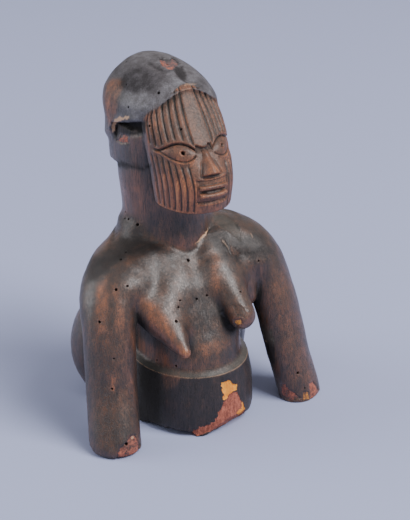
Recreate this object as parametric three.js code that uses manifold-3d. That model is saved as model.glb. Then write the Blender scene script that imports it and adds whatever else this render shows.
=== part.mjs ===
// Carved wooden half-figure of a woman, one block, broken off at the hips and at both wrists.
// Millimetres, +Z up. The figure faces -Y and its own right arm is at -X.
// The origin is on the floor, at the middle of the rounded front of the hips.

import * as THREE from 'three';
import { mergeVertices } from 'three/addons/utils/BufferGeometryUtils.js';
import Module from 'manifold-3d';

const wasm = await Module();
wasm.setup();

const { clamp, lerp, smoothstep, degToRad } = THREE.MathUtils;

// Driving dimensions
const HIP_HEIGHT = 36;
const HIP_SHIFT = -1.5;
const RUMP = { spread: 24, back: 47, height: 28, wide: 33, deep: 27, tall: 34 };
const NECK = { radius: 25.5, back: 39 };
const CROWN_HEIGHT = 205.5;
const CHIN_HEIGHT = 131;
const ARM = { wide: 14.6, thick: 11.3, turn: 60 };
const SHOULDER = { wide: 20, thick: 13 };
const ARM_STEPS = 36;
const ARM_SIDES = 20;
const BELOW_FLOOR = 12;
const RIGHT_FOOT = [-63.5, -17.5];
const LEFT_FOOT = [61, -11.5];
const LEFT_REACH = 0.96;
const BRIM_PEAK = 196.5;
const BRIM = { halfWidth: 40, fall: 29, roundness: 9, back: 22 };
const CAP_THICKNESS = 3;
const NOSE = { topHalf: 1.6, footHalf: 6, topRise: 0.4, footRise: 3.8, root: 3 };
const LIP = { halfShare: 0.36, gap: 2.3, thin: 0.9, thick: 2.2 };
const LID = { inner: 0.26, outer: 0.92, upperRise: 3.6, lowerRise: -2.6 };
const PUPIL = { share: 0.56, radius: 0.9, depth: 5 };
const BASE_CHIP = { size: [40, 14, 14], lean: -38, turn: 20, at: [11, -33.5, -3] };
const GROOVE_RADIUS = 0.9;
const FOREHEAD_GROOVES = 6;
const CHEEK_GROOVES = 5;
const FLOOR_CUT = 400;

// Face layout, as shares of the height from the chin to the crown.
const HEAD_SPAN = CROWN_HEIGHT - CHIN_HEIGHT;
const EYE_HEIGHT = CHIN_HEIGHT + 0.46 * HEAD_SPAN;
const NOSE_FOOT = CHIN_HEIGHT + 0.31 * HEAD_SPAN;
const MOUTH_HEIGHT = CHIN_HEIGHT + 0.19 * HEAD_SPAN;

// Rows of a loft: height, middle in Y, half width, depth in front, depth behind, squareness.
const HIP_ROWS = [
  [-4, 8, 36, 39, 50, 2],
  [8, 8, 36, 39.5, 50, 2],
  [24, 8, 35.5, 39, 52, 2],
  [HIP_HEIGHT, 8, 33.5, 37.5, 44, 2],
];

const SEAT_ROWS = [
  [-4, 36, 45, 32, 34, 2],
  [20, 37, 47, 33, 37, 2],
  [42, 37, 41, 30, 30, 2],
  [62, 37, 24, 20, 18, 2],
];

const TORSO_ROWS = [
  [20, 8, 29, 34, 42, 2],
  [HIP_HEIGHT, 8, 29.5, 35, 44, 2],
  [48, 10, 29.5, 35.5, 42, 2.1],
  [60, 15, 32.5, 36, 40, 2.1],
  [74, 22, 41, 38.5, 37, 2.1],
  [83, 28, 44.5, 37.5, 34, 2.1],
  [90, 32, 43.5, 31, 31, 2.1],
  [96, 36, 39, 22.5, 27, 2.1],
  [104, 39, 27, 16, 24, 2],
];

const NECK_ROWS = [
  [82, NECK.back - 1, NECK.radius, NECK.radius, NECK.radius, 2],
  [110, NECK.back, NECK.radius, NECK.radius, NECK.radius, 2],
  [160, NECK.back + 2, NECK.radius + 0.5, NECK.radius, NECK.radius + 1, 2],
];

const HEAD_ROWS = [
  [145, 44, 26.5, 26, 29.5, 2.2],
  [152, 45, 27.5, 29, 31, 2.2],
  [165, 45, 29, 36, 33, 2.2],
  [178, 45, 30, 41, 34, 2.2],
  [185, 45, 28.5, 42, 32.5, 2.2],
  [191, 45, 25.5, 40, 30, 2.1],
  [197, 44, 20.5, 33, 26, 2],
  [203, 43, 12.5, 21, 18, 2],
  [CROWN_HEIGHT, 43, 3, 5, 5, 2],
];

const FACE_ROWS = [
  [CHIN_HEIGHT, 8, 21, 25.7, 12, 2.1],
  [147, 10, 22.5, 29.5, 14, 2.1],
  [164, 14, 23.5, 24, 16, 2.1],
  [180, 20, 23.5, 17.8, 16, 2.1],
  [191, 26, 20.5, 16, 16, 2.1],
  [199, 34, 12, 17.5, 10, 2.1],
];

// The left arm and shoulder, from above the foot point to the middle of the back of the neck.
const SHOULDER_PATH = [
  [59, -6.5, 30],
  [55, 3, 60],
  [49.5, 14, 82],
  [38, 25, 91],
  [20, 33, 94],
  [0, 36, 94],
];

const RIGHT_BREAST = { root: [-23, 8, 78], tip: [-23, -28.5, 53.5], radius: 16, tipRadius: 2.2 };
const LEFT_BREAST = { root: [21.5, 8, 78], tip: [20, -21.5, 56], radius: 13.5, tipRadius: 6.5 };

const woodMaterial = new THREE.MeshStandardMaterial({ color: 0x4a3025, roughness: 0.5, metalness: 0 });

const toGeometry = (positions, faces) => {
  const geometry = new THREE.BufferGeometry();
  geometry.setAttribute('position', new THREE.Float32BufferAttribute(positions, 3));
  geometry.setIndex(faces);
  return geometry;
};

const toSolid = (geometry) => {
  const bare = geometry.clone();
  bare.deleteAttribute('normal');
  bare.deleteAttribute('uv');
  const merged = mergeVertices(bare);
  return new wasm.Manifold(new wasm.Mesh({
    numProp: 3,
    vertProperties: new Float32Array(merged.attributes.position.array),
    triVerts: new Uint32Array(merged.index.array),
  }));
};

// A closed skin over rings of points. All rings have the same count, and a fan closes each end.
const skinOf = (rings) => {
  const sides = rings[0].length;
  const positions = rings.flat(2);
  const faces = [];
  for (let ring = 0; ring + 1 < rings.length; ring += 1) {
    for (let side = 0; side < sides; side += 1) {
      const low = ring * sides + side;
      const lowNext = ring * sides + ((side + 1) % sides);
      faces.push(low, lowNext, lowNext + sides, low, lowNext + sides, low + sides);
    }
  }
  const addCap = (ring, facesDown) => {
    const middle = [0, 1, 2].map((axis) => rings[ring].reduce((sum, point) => sum + point[axis], 0) / sides);
    const centre = positions.length / 3;
    positions.push(...middle);
    for (let side = 0; side < sides; side += 1) {
      const here = ring * sides + side;
      const next = ring * sides + ((side + 1) % sides);
      faces.push(...(facesDown ? [centre, next, here] : [centre, here, next]));
    }
  };
  addCap(0, true);
  addCap(rings.length - 1, false);
  return toGeometry(positions, faces);
};

const signedPower = (value, exponent) => Math.sign(value) * Math.abs(value) ** exponent;

// The row of a loft at any height, on a smooth curve through the named rows.
const rowReader = (rows) => {
  const sizes = rows[0].length - 1;
  const heights = rows.map((row) => row[0]);
  const curve = new THREE.CubicInterpolant(heights, rows.flatMap((row) => row.slice(1)), sizes);
  return (z) => [z, ...curve.evaluate(clamp(z, heights[0], heights.at(-1)))];
};

const loftRings = (rows, layers, sides, grow = 0) => {
  const rowAt = rowReader(rows);
  const bottom = rows[0][0];
  const rise = rows.at(-1)[0] - bottom;
  return Array.from({ length: layers + 1 }, (_, layer) => {
    const [z, middle, halfWidth, front, back, square] = rowAt(bottom + rise * layer / layers);
    return Array.from({ length: sides }, (__, side) => {
      const angle = 2 * Math.PI * side / sides;
      const across = signedPower(Math.sin(angle), 2 / square);
      const depth = across < 0 ? front : back;
      return [
        (halfWidth + grow) * signedPower(Math.cos(angle), 2 / square),
        middle + across * (depth + grow),
        z,
      ];
    });
  });
};

const loft = (rows, layers, sides, grow = 0) => toSolid(skinOf(loftRings(rows, layers, sides, grow)));

// A closed round bar through points, with its radius given along the way.
const bar = (points, radiusAt, sides, steps) => {
  const curve = new THREE.CatmullRomCurve3(points.map((point) => new THREE.Vector3(...point)));
  const rings = Array.from({ length: steps + 1 }, (_, step) => {
    const share = step / steps;
    const centre = curve.getPoint(share);
    const along = curve.getTangent(share);
    const across = new THREE.Vector3(0, -1, 0).cross(along).normalize();
    const forward = new THREE.Vector3().crossVectors(along, across);
    const radius = radiusAt(share);
    return Array.from({ length: sides }, (__, side) => {
      const angle = 2 * Math.PI * side / sides;
      return centre.clone()
        .addScaledVector(across, radius * Math.cos(angle))
        .addScaledVector(forward, radius * Math.sin(angle))
        .toArray();
    });
  });
  return toSolid(skinOf(rings));
};

const hips = () => {
  let solid = loft(HIP_ROWS, 3, 44).translate([HIP_SHIFT, 0, 0]).add(loft(SEAT_ROWS, 6, 36));
  for (const side of [-1, 1]) {
    const lobe = new THREE.SphereGeometry(1, 24, 12)
      .rotateX(Math.PI / 2)
      .scale(RUMP.wide, RUMP.deep, RUMP.tall)
      .translate(side * RUMP.spread, RUMP.back, RUMP.height);
    solid = solid.add(toSolid(lobe));
  }
  return solid;
};

// Both arms and the shoulders as one bent oval bar. The oval's long way points outward and back
// on the arms, and straight back behind the neck.
const armsAndShoulders = () => {
  const under = ([x, y]) => [new THREE.Vector3(x * 1.02, y - 3, -BELOW_FLOOR), new THREE.Vector3(x, y, 0)];
  const left = SHOULDER_PATH.map(([x, y, z]) => new THREE.Vector3(x * LEFT_REACH, y, z));
  const right = SHOULDER_PATH.slice(0, -1).map(([x, y, z]) => new THREE.Vector3(-x, y, z));
  const points = [...under(RIGHT_FOOT), ...right, ...left.reverse(), ...under(LEFT_FOOT).reverse()];
  const curve = new THREE.CatmullRomCurve3(points, false, 'centripetal');
  const rings = Array.from({ length: ARM_STEPS + 1 }, (_, step) => {
    const side = 2 * step / ARM_STEPS - 1;
    const centre = curve.getPointAt(step / ARM_STEPS);
    const along = curve.getTangentAt(step / ARM_STEPS);
    const turn = Math.sign(side) * smoothstep(Math.abs(side), 0.15, 0.6) * degToRad(ARM.turn);
    const across = new THREE.Vector3(Math.sin(turn), Math.cos(turn), 0);
    across.addScaledVector(along, -across.dot(along)).normalize();
    const outward = new THREE.Vector3().crossVectors(along, across);
    const wide = lerp(SHOULDER.wide, ARM.wide, smoothstep(Math.abs(side), 0.1, 0.6));
    const thick = lerp(SHOULDER.thick, ARM.thick, smoothstep(Math.abs(side), 0.3, 0.8));
    return Array.from({ length: ARM_SIDES }, (__, corner) => {
      const angle = 2 * Math.PI * corner / ARM_SIDES;
      return centre.clone()
        .addScaledVector(across, wide * Math.cos(angle))
        .addScaledVector(outward, thick * Math.sin(angle))
        .toArray();
    });
  });
  return toSolid(skinOf(rings));
};

// A long drop: rounded inside the chest, straight towards a blunt tip.
const breast = ({ root, tip, radius, tipRadius }) => {
  const from = new THREE.Vector3(...root);
  const along = new THREE.Vector3(...tip).sub(from);
  const length = along.length();
  const roundEnd = radius * 0.9;
  const profile = [];
  for (let corner = 0; corner <= 5; corner += 1) {
    const angle = Math.PI / 2 * corner / 5;
    profile.push(new THREE.Vector2(radius * Math.sin(angle), roundEnd * (1 - Math.cos(angle))));
  }
  profile.push(new THREE.Vector2((radius + tipRadius) / 2 + 1, (roundEnd + length - tipRadius) / 2));
  for (let corner = 0; corner <= 3; corner += 1) {
    const angle = Math.PI / 2 * corner / 3;
    profile.push(new THREE.Vector2(tipRadius * Math.cos(angle), length - tipRadius * (1 - Math.sin(angle))));
  }
  const turn = new THREE.Quaternion().setFromUnitVectors(new THREE.Vector3(0, 1, 0), along.normalize());
  const drop = new THREE.LatheGeometry(profile, 22);
  return toSolid(drop.applyQuaternion(turn).translate(...from.toArray()));
};

const extrudeOutline = (outline, depth) => new THREE.ExtrudeGeometry(outline, { depth, bevelEnabled: false });

// All in front of the ears and below the brim, whose edge rises from both temples to a rounded peak.
const belowBrim = () => {
  const slopeEnd = BRIM_PEAK - 2.5;
  const outline = new THREE.Shape();
  outline.moveTo(-BRIM.halfWidth, BRIM_PEAK - BRIM.fall);
  outline.lineTo(-BRIM.roundness, slopeEnd);
  outline.quadraticCurveTo(0, BRIM_PEAK + 2.5, BRIM.roundness, slopeEnd);
  outline.lineTo(BRIM.halfWidth, BRIM_PEAK - BRIM.fall);
  outline.lineTo(BRIM.halfWidth, 100);
  outline.lineTo(-BRIM.halfWidth, 100);
  return toSolid(extrudeOutline(outline, 80).rotateX(Math.PI / 2).translate(0, BRIM.back, 0));
};

// The hollow under the ear's ridge, seen from the side, through the whole head.
const earHollow = () => {
  const outline = new THREE.Shape();
  outline.moveTo(12, 182);
  outline.lineTo(40, 172);
  outline.quadraticCurveTo(48, 168, 45, 160);
  outline.lineTo(38, 158);
  outline.lineTo(12, 172);
  return toSolid(extrudeOutline(outline, 90).rotateX(Math.PI / 2).rotateZ(Math.PI / 2).translate(-45, 0, 0));
};

const faceAt = rowReader(FACE_ROWS);

// The front of the face shield at a share of its half width.
const facePoint = (share, z, lift = 0) => {
  const [, middle, halfWidth, front, , square] = faceAt(z);
  const depth = front * (1 - Math.abs(share) ** square) ** (1 / square);
  return [share * halfWidth, middle - depth - lift, z];
};

const faceLine = (points, radius, sides, steps) => (
  bar(points, (share) => radius * (0.35 + 0.65 * Math.sin(Math.PI * share) ** 0.5), sides, steps)
);

const spread = (count, from, to) => Array.from({ length: count }, (_, k) => from + (to - from) * k / (count - 1));

// Upright grooves on the forehead and the cheeks, the same on both sides of the face.
const faceGrooves = () => {
  const grooves = [];
  for (const side of [-1, 1]) {
    for (const share of spread(FOREHEAD_GROOVES, 0.28, 0.93)) {
      const top = BRIM_PEAK - 4 - 17 * share;
      const bottom = EYE_HEIGHT + 6 - 5 * share ** 2;
      const path = spread(3, bottom, top).map((z) => facePoint(side * share, z));
      grooves.push(faceLine(path, GROOVE_RADIUS, 4, 4));
    }
    for (const share of spread(CHEEK_GROOVES, 0.44, 0.92)) {
      const top = EYE_HEIGHT - 6 + 4 * (share - 0.5);
      const path = spread(3, CHIN_HEIGHT + 1.5, top).map((z) => facePoint(side * share, z));
      grooves.push(faceLine(path, GROOVE_RADIUS, 4, 3));
    }
  }
  return grooves;
};

// Each eye is an almond between two cut lines, with a small drilled pupil.
const eyeCuts = () => {
  const cuts = [];
  for (const side of [-1, 1]) {
    for (const [rise, radius] of [[LID.upperRise, 1.1], [LID.lowerRise, 0.8]]) {
      const shares = spread(6, LID.inner, LID.outer);
      const path = shares.map((share, k) => (
        facePoint(side * share, EYE_HEIGHT + rise * Math.sin(Math.PI * k / (shares.length - 1)))
      ));
      cuts.push(faceLine(path, radius, 4, 7));
    }
    const [x, y, z] = facePoint(side * PUPIL.share, EYE_HEIGHT + 0.5);
    const drill = new THREE.CylinderGeometry(PUPIL.radius, PUPIL.radius, PUPIL.depth, 6);
    cuts.push(toSolid(drill.translate(x, y, z)));
  }
  return cuts;
};

const nose = () => {
  const top = EYE_HEIGHT + 2;
  const rings = spread(4, NOSE_FOOT, top).map((z) => {
    const share = (top - z) / (top - NOSE_FOOT);
    const [, front] = facePoint(0, z);
    const halfWidth = lerp(NOSE.topHalf, NOSE.footHalf, share);
    const ridge = lerp(NOSE.topRise, NOSE.footRise, share);
    return [
      [halfWidth, front + NOSE.root, z],
      [-halfWidth, front + NOSE.root, z],
      [-halfWidth, front + 0.4, z],
      [-0.8, front - ridge, z],
      [0.8, front - ridge, z],
      [halfWidth, front + 0.4, z],
    ];
  });
  return toSolid(skinOf(rings));
};

const lips = () => [1, -1].map((side) => {
  const path = spread(5, -LIP.halfShare, LIP.halfShare)
    .map((share) => facePoint(share, MOUTH_HEIGHT + LIP.gap * side, 0.2));
  return bar(path, (share) => lerp(LIP.thin, LIP.thick, Math.sin(Math.PI * share)), 8, 8);
});

const head = () => {
  const cap = loft(HEAD_ROWS, 14, 40).subtract(belowBrim());
  const skull = loft(HEAD_ROWS, 8, 24, -CAP_THICKNESS);
  let face = loft(FACE_ROWS, 8, 36).add(nose());
  for (const lip of lips()) {
    face = face.add(lip);
  }
  for (const cut of [...faceGrooves(), ...eyeCuts()]) {
    face = face.subtract(cut);
  }
  return cap.subtract(earHollow()).add(skull).add(face);
};

// The broken lower edge at the front left of the hips.
const baseChip = () => {
  const block = new THREE.BoxGeometry(...BASE_CHIP.size)
    .rotateX(degToRad(BASE_CHIP.lean))
    .rotateZ(degToRad(BASE_CHIP.turn))
    .translate(...BASE_CHIP.at);
  return toSolid(block);
};

const belowFloor = () => (
  toSolid(new THREE.BoxGeometry(FLOOR_CUT, FLOOR_CUT, FLOOR_CUT).translate(0, 0, -FLOOR_CUT / 2))
);

const carvedBust = () => {
  const solid = hips()
    .add(loft(TORSO_ROWS, 12, 44))
    .add(armsAndShoulders())
    .add(loft(NECK_ROWS, 2, 32))
    .add(head())
    .add(breast(RIGHT_BREAST))
    .add(breast(LEFT_BREAST))
    .subtract(baseChip())
    .subtract(belowFloor());
  const { vertProperties, triVerts } = solid.getMesh();
  const mesh = new THREE.Mesh(toGeometry(Array.from(vertProperties), Array.from(triVerts)), woodMaterial);
  mesh.name = 'carved_bust';
  return mesh;
};

const group = new THREE.Group();
group.add(carvedBust());

export default group;
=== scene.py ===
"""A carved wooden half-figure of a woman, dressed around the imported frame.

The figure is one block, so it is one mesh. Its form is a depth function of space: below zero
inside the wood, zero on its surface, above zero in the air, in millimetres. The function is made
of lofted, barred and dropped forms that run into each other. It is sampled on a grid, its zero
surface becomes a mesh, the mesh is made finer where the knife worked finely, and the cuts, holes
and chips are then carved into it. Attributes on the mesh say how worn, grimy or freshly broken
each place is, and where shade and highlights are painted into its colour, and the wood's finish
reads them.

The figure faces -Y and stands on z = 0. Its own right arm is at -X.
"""

import logging
import math
from dataclasses import dataclass
from enum import Enum

import bpy
import numpy as np
from mathutils import Matrix, Vector


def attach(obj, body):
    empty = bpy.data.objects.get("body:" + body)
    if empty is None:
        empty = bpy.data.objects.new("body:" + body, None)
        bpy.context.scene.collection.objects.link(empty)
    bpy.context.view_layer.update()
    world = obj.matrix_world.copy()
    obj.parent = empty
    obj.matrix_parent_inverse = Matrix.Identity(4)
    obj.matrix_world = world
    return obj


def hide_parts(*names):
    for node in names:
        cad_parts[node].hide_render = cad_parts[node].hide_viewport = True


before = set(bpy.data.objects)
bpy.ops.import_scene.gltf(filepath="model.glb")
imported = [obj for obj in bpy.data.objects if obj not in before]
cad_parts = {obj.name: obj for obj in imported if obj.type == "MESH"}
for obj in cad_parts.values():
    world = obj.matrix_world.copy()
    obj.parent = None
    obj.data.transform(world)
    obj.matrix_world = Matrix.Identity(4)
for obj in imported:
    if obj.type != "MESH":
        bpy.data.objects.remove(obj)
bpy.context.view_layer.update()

log = logging.getLogger("wooden_bust")

MM = 0.001
FAR = 40.0
Array = np.ndarray


def smooth_step(low: float | Array, high: float | Array, value: Array) -> Array:
    """Rises from 0 at low to 1 at high along t * t * (3 - 2 * t).

    Args:
        low: Value where the rise starts.
        high: Value where it ends; below low for a fall.
        value: Values to read.

    Returns:
        The share from 0 to 1 of each value.
    """
    share = np.clip((value - low) / (high - low), 0.0, 1.0)
    return share * share * (3.0 - 2.0 * share)


def joined(a: Array, b: Array, blend: float | Array) -> Array:
    """The lesser depth of two forms, eased where they differ by less than blend.

    Args:
        a: Depths in the first form.
        b: Depths in the second form.
        blend: Width of the easing in millimetres.

    Returns:
        min(a, b) less the square of what is left of blend, over four times blend.
    """
    left = np.maximum(blend - np.abs(a - b), 0.0)
    return np.minimum(a, b) - left * left / (4.0 * blend)


def trimmed(a: Array, b: Array, blend: float | Array) -> Array:
    """The greater depth of two forms, eased in the same way, for a form cut by another."""
    return -joined(-a, -b, blend)


def bell(distance: Array, width: float) -> Array:
    """A bell curve, exp(-(distance / width) squared)."""
    return np.exp(-((distance / width) ** 2))


def ripple(points: Array, wavelength: float, seed: int, waves: int = 9) -> Array:
    """A smooth uneven field from -1 to 1: the mean of seeded sine waves in turned directions.

    Args:
        points: Places, one row each.
        wavelength: Length of a wave in millimetres.
        seed: Seed of the waves' directions and phases.
        waves: How many waves are summed.

    Returns:
        The field's value at each place.
    """
    random = np.random.default_rng(seed)
    ways = random.normal(size=(3, waves))
    ways /= np.linalg.norm(ways, axis=0)
    ways *= 2.0 * math.pi / (wavelength * random.uniform(0.7, 1.4, waves))
    return np.sin(points @ ways + random.uniform(0.0, 2.0 * math.pi, waves)).mean(axis=1) * 1.6


class Rows:
    """Named sizes at heights, read at any height on a smooth curve through them."""

    def __init__(self, rows: tuple[tuple[float, ...], ...], crown: float | None = None) -> None:
        """Keeps the rows and their slopes.

        Args:
            rows: A height and its sizes in each row, lowest first.
            crown: Height of a rounded top, where the sizes shrink as the root of the way to it.
        """
        table = np.array(rows, dtype=float)
        self.crown = crown
        self.knots = self.warp(table[:, 0])
        self.sizes = table[:, 1:]
        steps = np.diff(self.knots)[:, None]
        falls = np.diff(self.sizes, axis=0) / steps
        inner = (falls[:-1] * steps[1:] + falls[1:] * steps[:-1]) / (steps[:-1] + steps[1:])
        self.slopes = np.vstack([falls[:1], inner, falls[-1:]])

    def warp(self, z: Array) -> Array:
        """The height itself, or minus the signed root of what is left to the crown."""
        if self.crown is None:
            return z
        left = self.crown - z
        return -np.sign(left) * np.sqrt(np.abs(left))

    def at(self, z: Array) -> Array:
        """Reads every size at each height.

        Args:
            z: Heights in millimetres.

        Returns:
            One row of sizes for each height, on Hermite curves through the rows.
        """
        top = self.knots[-1] if self.crown is None else 1.0
        w = np.clip(self.warp(z), self.knots[0], top)
        k = np.clip(np.searchsorted(self.knots, w) - 1, 0, len(self.knots) - 2)
        step = self.knots[k + 1] - self.knots[k]
        t = ((w - self.knots[k]) / step)[:, None]
        step = step[:, None]
        low = self.sizes[k] * (1 + 2 * t) * (1 - t) ** 2 + self.slopes[k] * step * t * (1 - t) ** 2
        high = self.sizes[k + 1] * t**2 * (3 - 2 * t) + self.slopes[k + 1] * step * t**2 * (t - 1)
        return low + high


@dataclass(frozen=True)
class Loft:
    """A form with a rounded-oval section at every height.

    Its rows hold: height, middle in Y, half width, depth in front, depth behind, squareness.
    """

    rows: Rows
    low: float
    high: float
    shift: float = 0.0

    def reach(self, points: Array, grow: float) -> tuple[Array, Array]:
        """How far out a place lies: 0 in the middle, 1 on the section's outline.

        Args:
            points: Places, one row each.
            grow: What is added to every half size.

        Returns:
            (u ** n + v ** n) ** (1 / n), with u and v the offsets over the half sizes and n the
            squareness, and how steeply that rises within the section, for each millimetre.
        """
        middle, half, front, back, square = self.rows.at(points[:, 2]).T
        y = points[:, 1] - middle
        wide = np.maximum(half + grow, 0.05)
        deep = np.maximum(np.where(y < 0.0, front, back) + grow, 0.05)
        u = np.abs(points[:, 0] - self.shift) / wide
        v = np.abs(y) / deep
        result = np.maximum((u**square + v**square) ** (1.0 / square), 1e-3)
        less = square - 1.0
        return result, np.hypot((u / result) ** less / wide, (v / result) ** less / deep)

    def depth(self, points: Array, grow: float = 0.0) -> Array:
        """Depth of places in the form: (reach - 1) over the steepness of reach.

        Args:
            points: Places, one row each.
            grow: What is added to every half size.

        Returns:
            Depths in millimetres, FAR outside the form's range of heights.
        """
        result = np.full(len(points), FAR)
        near = (points[:, 2] > self.low) & (points[:, 2] < self.high)
        place = points[near]
        reach, level = self.reach(place, grow)
        rise = np.array([0.0, 0.0, 0.15])
        upper, lower = (self.reach(place + way, grow)[0] for way in (rise, -rise))
        most = level * (3.0 + 60.0 * smooth_step(2.0, 1.2, reach))
        steep = np.hypot(level, np.minimum(np.abs(upper - lower) / 0.3, most))
        result[near] = np.maximum((reach - 1.0) / np.maximum(steep, 0.008), -FAR)
        if self.rows.crown is not None:
            result = np.maximum(result, points[:, 2] - self.rows.crown)
        return result


@dataclass(frozen=True)
class Drop:
    """A tapering form with round ends along a straight line."""

    root: tuple[float, float, float]
    tip: tuple[float, float, float]
    radii: tuple[float, ...]

    def depth(self, points: Array) -> Array:
        """Depth of places in the form.

        Args:
            points: Places, one row each.

        Returns:
            Distance to the nearest point of the line, less the radius there.
        """
        root = np.array(self.root)
        along = np.array(self.tip) - root
        share = np.clip((points - root) @ along / (along @ along), 0.0, 1.0)
        radius = np.interp(share, np.linspace(0.0, 1.0, len(self.radii)), self.radii)
        return np.linalg.norm(points - root - share[:, None] * along, axis=1) - radius


@dataclass(frozen=True)
class Oval:
    """An ellipsoid."""

    middle: tuple[float, float, float]
    half: tuple[float, float, float]

    def depth(self, points: Array) -> Array:
        """Depth of places: (r - 1) over the steepness of r, with r the scaled distance."""
        scaled = (points - np.array(self.middle)) / np.array(self.half)
        r = np.maximum(np.linalg.norm(scaled, axis=1), 0.02)
        steep = np.linalg.norm(scaled / np.array(self.half), axis=1) / r
        return (r - 1.0) / steep


class ArmBar:
    """Both arms and the shoulders: one bent bar with an oval section.

    The section's long way points outward and back on the arms, and straight back behind the
    neck.
    """

    FOOT_RIGHT = (-64.0, -20.5)
    FOOT_LEFT = (62.0, -14.0)
    LEFT_REACH = 0.96
    PATH = (
        (59.0, -6.5, 30.0),
        (55.0, 3.0, 60.0),
        (49.5, 14.0, 82.0),
        (38.0, 24.0, 91.0),
        (20.0, 30.5, 94.0),
        (0.0, 33.0, 94.0),
    )
    BELOW_FLOOR = 12.0
    SHOULDER = (20.0, 13.0)
    ARM = (14.6, 11.3)
    TURN = math.radians(60.0)
    SAMPLES = 240

    def __init__(self) -> None:
        """Works out the middle line, the section's two ways and its half sizes."""
        left = [(x * self.LEFT_REACH, y, z) for x, y, z in self.PATH]
        right = [(-x, y, z) for x, y, z in self.PATH[:-1]]
        knots = [*self.under(self.FOOT_RIGHT), *right, *left[::-1], *self.under(self.FOOT_LEFT)[::-1]]
        knots = np.array(knots)
        chords = np.sqrt(np.linalg.norm(np.diff(knots, axis=0), axis=1))
        way = np.concatenate([[0.0], np.cumsum(chords)])
        curve = Rows(tuple(map(tuple, np.column_stack([way, knots]))))
        fine = curve.at(np.linspace(0.0, way[-1], 4 * self.SAMPLES))
        length = np.concatenate([[0.0], np.cumsum(np.linalg.norm(np.diff(fine, axis=0), axis=1))])
        even = np.linspace(0.0, length[-1], self.SAMPLES)
        self.middle = np.column_stack([np.interp(even, length, fine[:, axis]) for axis in range(3)])
        self.along = np.gradient(self.middle, axis=0)
        self.along /= np.linalg.norm(self.along, axis=1)[:, None]
        side = np.linspace(-1.0, 1.0, self.SAMPLES)
        turn = np.sign(side) * smooth_step(0.15, 0.6, np.abs(side)) * self.TURN
        across = np.column_stack([np.sin(turn), np.cos(turn), np.zeros_like(turn)])
        across -= (across * self.along).sum(axis=1)[:, None] * self.along
        self.across = across / np.linalg.norm(across, axis=1)[:, None]
        self.outward = np.cross(self.along, self.across)
        to_arm = smooth_step(0.1, 0.6, np.abs(side))
        to_thin = smooth_step(0.3, 0.8, np.abs(side))
        self.wide = self.SHOULDER[0] + (self.ARM[0] - self.SHOULDER[0]) * to_arm
        self.thick = self.SHOULDER[1] + (self.ARM[1] - self.SHOULDER[1]) * to_thin

    def under(self, foot: tuple[float, float]) -> list[tuple[float, float, float]]:
        """The two points of the line at and below a foot, from its place on the floor."""
        x, y = foot
        return [(x * 1.02, y - 3.0, -self.BELOW_FLOOR), (x, y, 0.0)]

    def local(self, points: Array) -> tuple[Array, Array, Array]:
        """Finds the nearest piece of the middle line.

        Args:
            points: Places, one row each.

        Returns:
            The share along the line, and the offsets over the half sizes across and outward.
        """
        gap = (self.middle**2).sum(axis=1)[None, :] - 2.0 * points @ self.middle.T
        nearest = gap.argmin(axis=1)
        ahead = ((points - self.middle[nearest]) * self.along[nearest]).sum(axis=1) > 0.0
        k = np.clip(np.where(ahead, nearest, nearest - 1), 0, self.SAMPLES - 2)
        chord = self.middle[k + 1] - self.middle[k]
        t = ((points - self.middle[k]) * chord).sum(axis=1) / (chord**2).sum(axis=1)
        t = np.clip(t, 0.0, 1.0)[:, None]
        offset = points - self.middle[k] - t * chord
        across = self.across[k] * (1 - t) + self.across[k + 1] * t
        outward = self.outward[k] * (1 - t) + self.outward[k + 1] * t
        t = t[:, 0]
        wide = self.wide[k] * (1 - t) + self.wide[k + 1] * t
        thick = self.thick[k] * (1 - t) + self.thick[k + 1] * t
        u = (offset * across).sum(axis=1)
        v = (offset * outward).sum(axis=1)
        r = np.maximum(np.hypot(u / wide, v / thick), 0.02)
        steep = np.hypot(u / wide**2, v / thick**2) / r
        return (k + t) / (self.SAMPLES - 1), (r - 1.0) / steep, np.arctan2(v, u)

    def depth(self, points: Array) -> Array:
        """Depth of places in the bar, in slices so that the table of distances stays small."""
        result = np.full(len(points), FAR)
        near = (points[:, 2] < 125.0) & ((np.abs(points[:, 0]) > 30.0) | (points[:, 2] > 62.0))
        chosen = np.flatnonzero(near)
        for part in np.array_split(chosen, max(1, len(chosen) // 40000)):
            result[part] = self.local(points[part])[1]
        return result


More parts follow.
